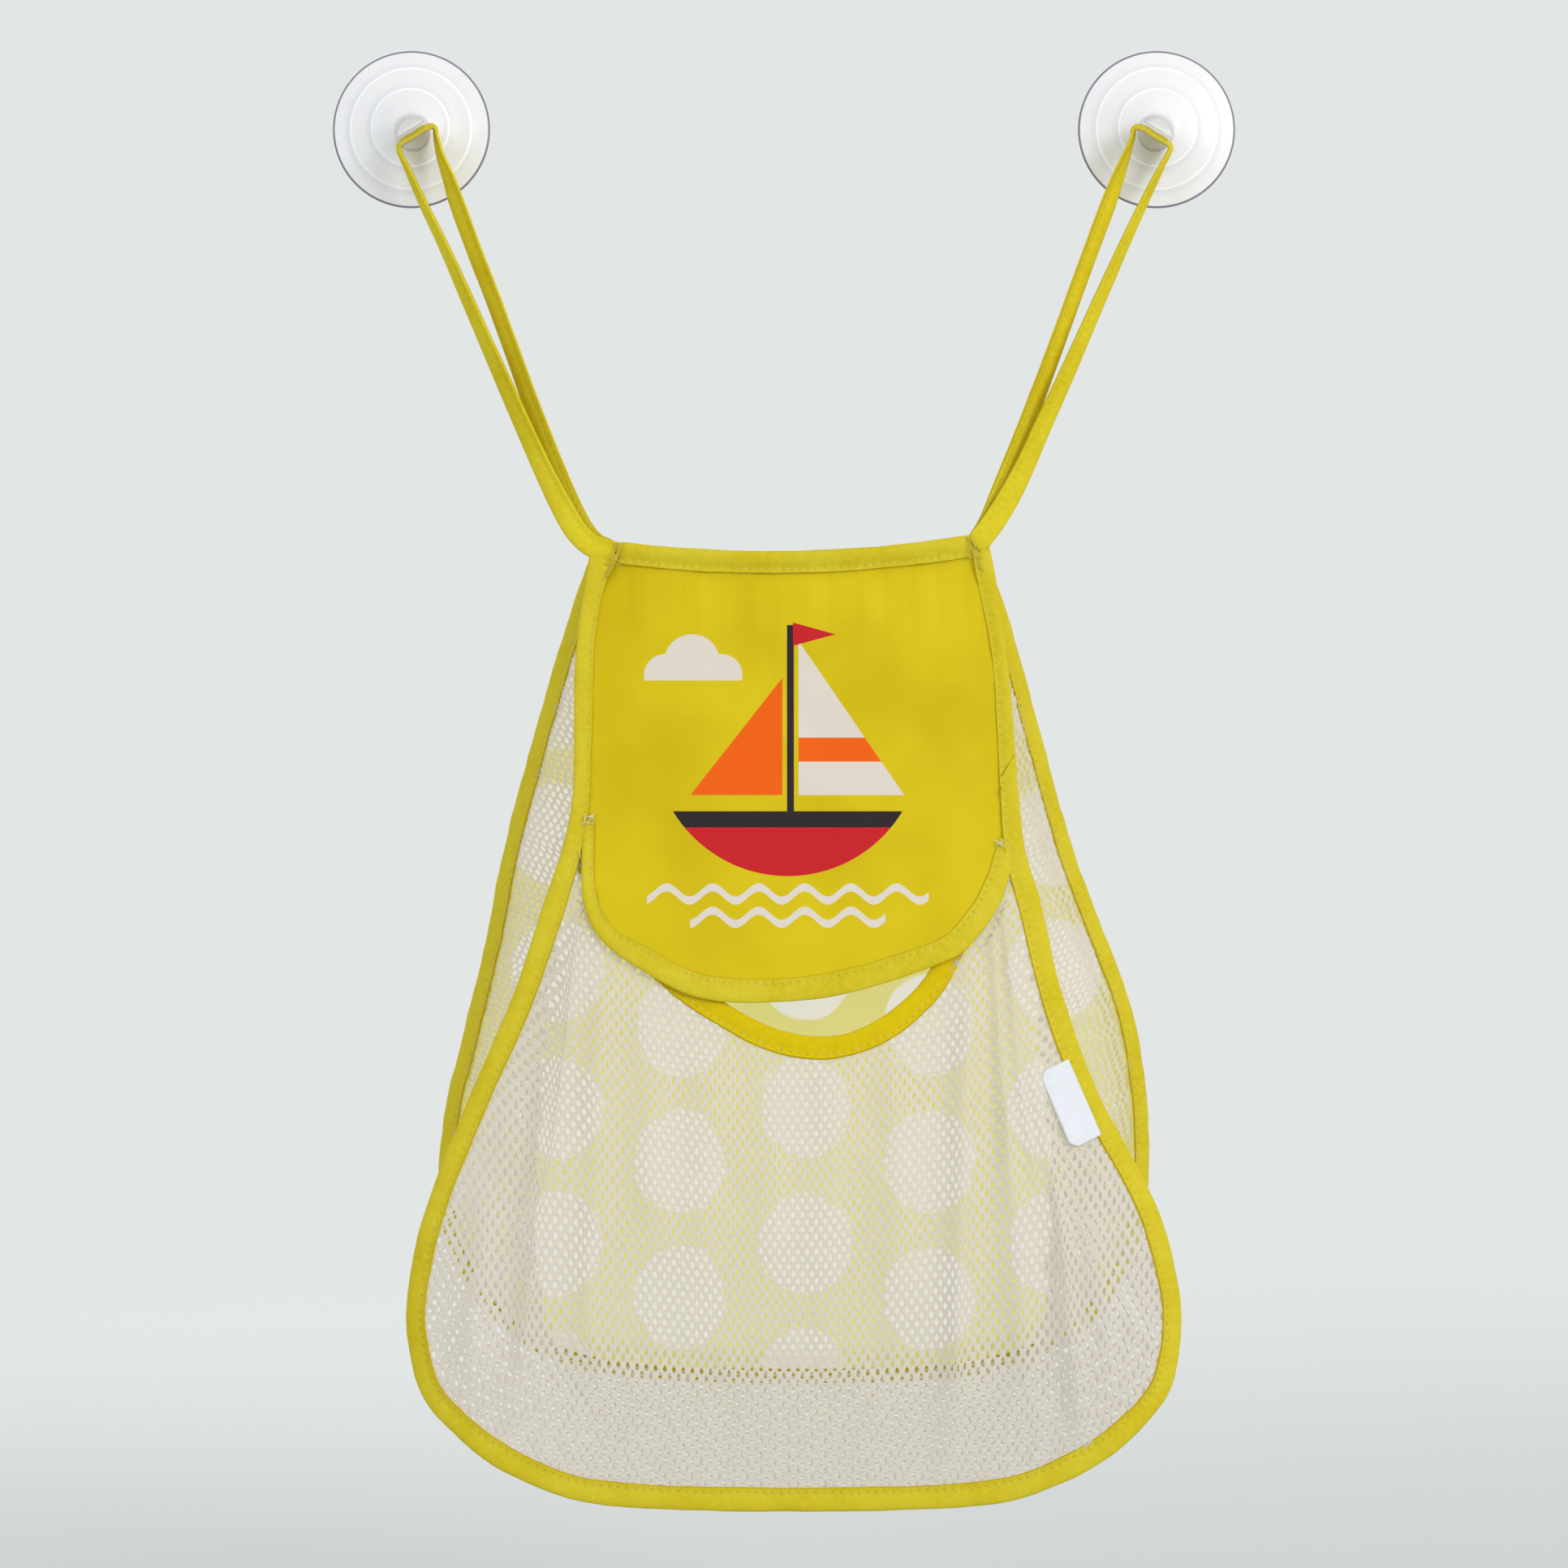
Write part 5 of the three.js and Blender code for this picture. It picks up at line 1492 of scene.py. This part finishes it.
# %% Join in the front tape
join_runs = (((80.9, -247.0), (85.9, -239.0)), ((79.7, -253.6), (81.2, -250.8)))
for number, ends in enumerate(join_runs):
    line = np.array(ends)
    corners = np.column_stack([line[:, 0], -on_front(line) - tape_thickness * 0.46, line[:, 1]])
    join = thread_path(f"front_tape_join_{number + 1}", corners, 0.24, join_crease_shade)
    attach(join, "bag")

# %% [markdown]
# The object hangs in the air here, over a pale floor. Three broad area lamps light it softly: from
# the upper right, from the left and from behind. The world fills in the rest. The camera sees the
# world at a plain pale level, and the floor fades into that level, so no horizon shows.

# %% Floor, world and lamps
backdrop = ink(226, 230, 229)
floor_drop = 600
floor_reach = 6
fade_start, fade_end = 0.45, 1.6  # metres from the middle of the floor


def stage_floor():
    corners = np.array([(-1, -1, 0), (1, -1, 0), (1, 1, 0), (-1, 1, 0)]) * floor_reach / MM
    corners = corners + (0, 0, -floor_drop)
    finish = Finish("pale_floor", Roughness=0.9)
    finish.paint("Base Color", ink(194, 197, 196))
    floor = add_piece("floor", corners, [np.array([[0, 1, 2, 3]])], finish)
    where = finish.make("ShaderNodeTexCoord", None, None, 3)
    reach = finish.make("ShaderNodeVectorMath", {"operation": "LENGTH"}, {0: where}, 1)
    far = reach.step(fade_start, fade_end)
    glow = finish.make("ShaderNodeEmission", None, {"Color": backdrop})
    seen = finish.make("ShaderNodeLightPath")
    solid = Paint(finish, finish.shader.outputs[0])
    finish.surface(finish.make("ShaderNodeMixShader", None, {0: far * seen, 1: solid, 2: glow}))
    return floor


stage_floor()


def soft_room(name, colour, strength):
    """A world that lights the object as a soft room, and is seen as the plain backdrop."""
    world = bpy.data.worlds.new(name)
    world.use_nodes = True
    tree = world.node_tree
    tree.nodes.clear()

    def make(kind, *feeds, **settings):
        node = tree.nodes.new(kind)
        for setting, value in settings.items():
            setattr(node, setting, value)
        for socket, value in zip(node.inputs, feeds):
            if isinstance(value, bpy.types.NodeSocket):
                tree.links.new(value, socket)
            else:
                socket.default_value = value
        return node.outputs

    ray = make("ShaderNodeLightPath")
    seen = make("ShaderNodeMath", ray["Is Camera Ray"], ray["Is Glossy Ray"], operation="MAXIMUM")
    seen = make("ShaderNodeMath", seen[0], ray["Is Transmission Ray"], operation="MAXIMUM")
    room = make("ShaderNodeBackground", (*colour, 1), strength)
    plain = make("ShaderNodeBackground", backdrop, 1.0)
    both = make("ShaderNodeMixShader", seen[0], room[0], plain[0])
    make("ShaderNodeOutputWorld", both[0])
    return world


bpy.context.scene.world = soft_room("soft_room", (0.95, 0.97, 1.0), 0.84)
lamp_aim = (0, 0, -0.27)


def area_lamp(name, place, size, power, colour):
    lamp = bpy.data.lights.new(name, "AREA")
    lamp.size, lamp.energy, lamp.color = size, power, colour
    holder = bpy.data.objects.new(name, lamp)
    holder.location = place
    aim = np.array(lamp_aim) - np.array(place)
    holder.rotation_mode = "QUATERNION"
    holder.rotation_quaternion = Vector(aim).to_track_quat("-Z", "Y")
    bpy.context.scene.collection.objects.link(holder)


area_lamp("key_lamp", (1.25, -1.4, 0.35), 0.8, 15, (1.0, 0.97, 0.92))
area_lamp("fill_lamp", (-1.3, -1.3, 0.1), 1.2, 4, (0.94, 0.97, 1.0))
area_lamp("back_lamp", (-0.4, 1.4, 0.2), 1.4, 10, (1.0, 1.0, 1.0))
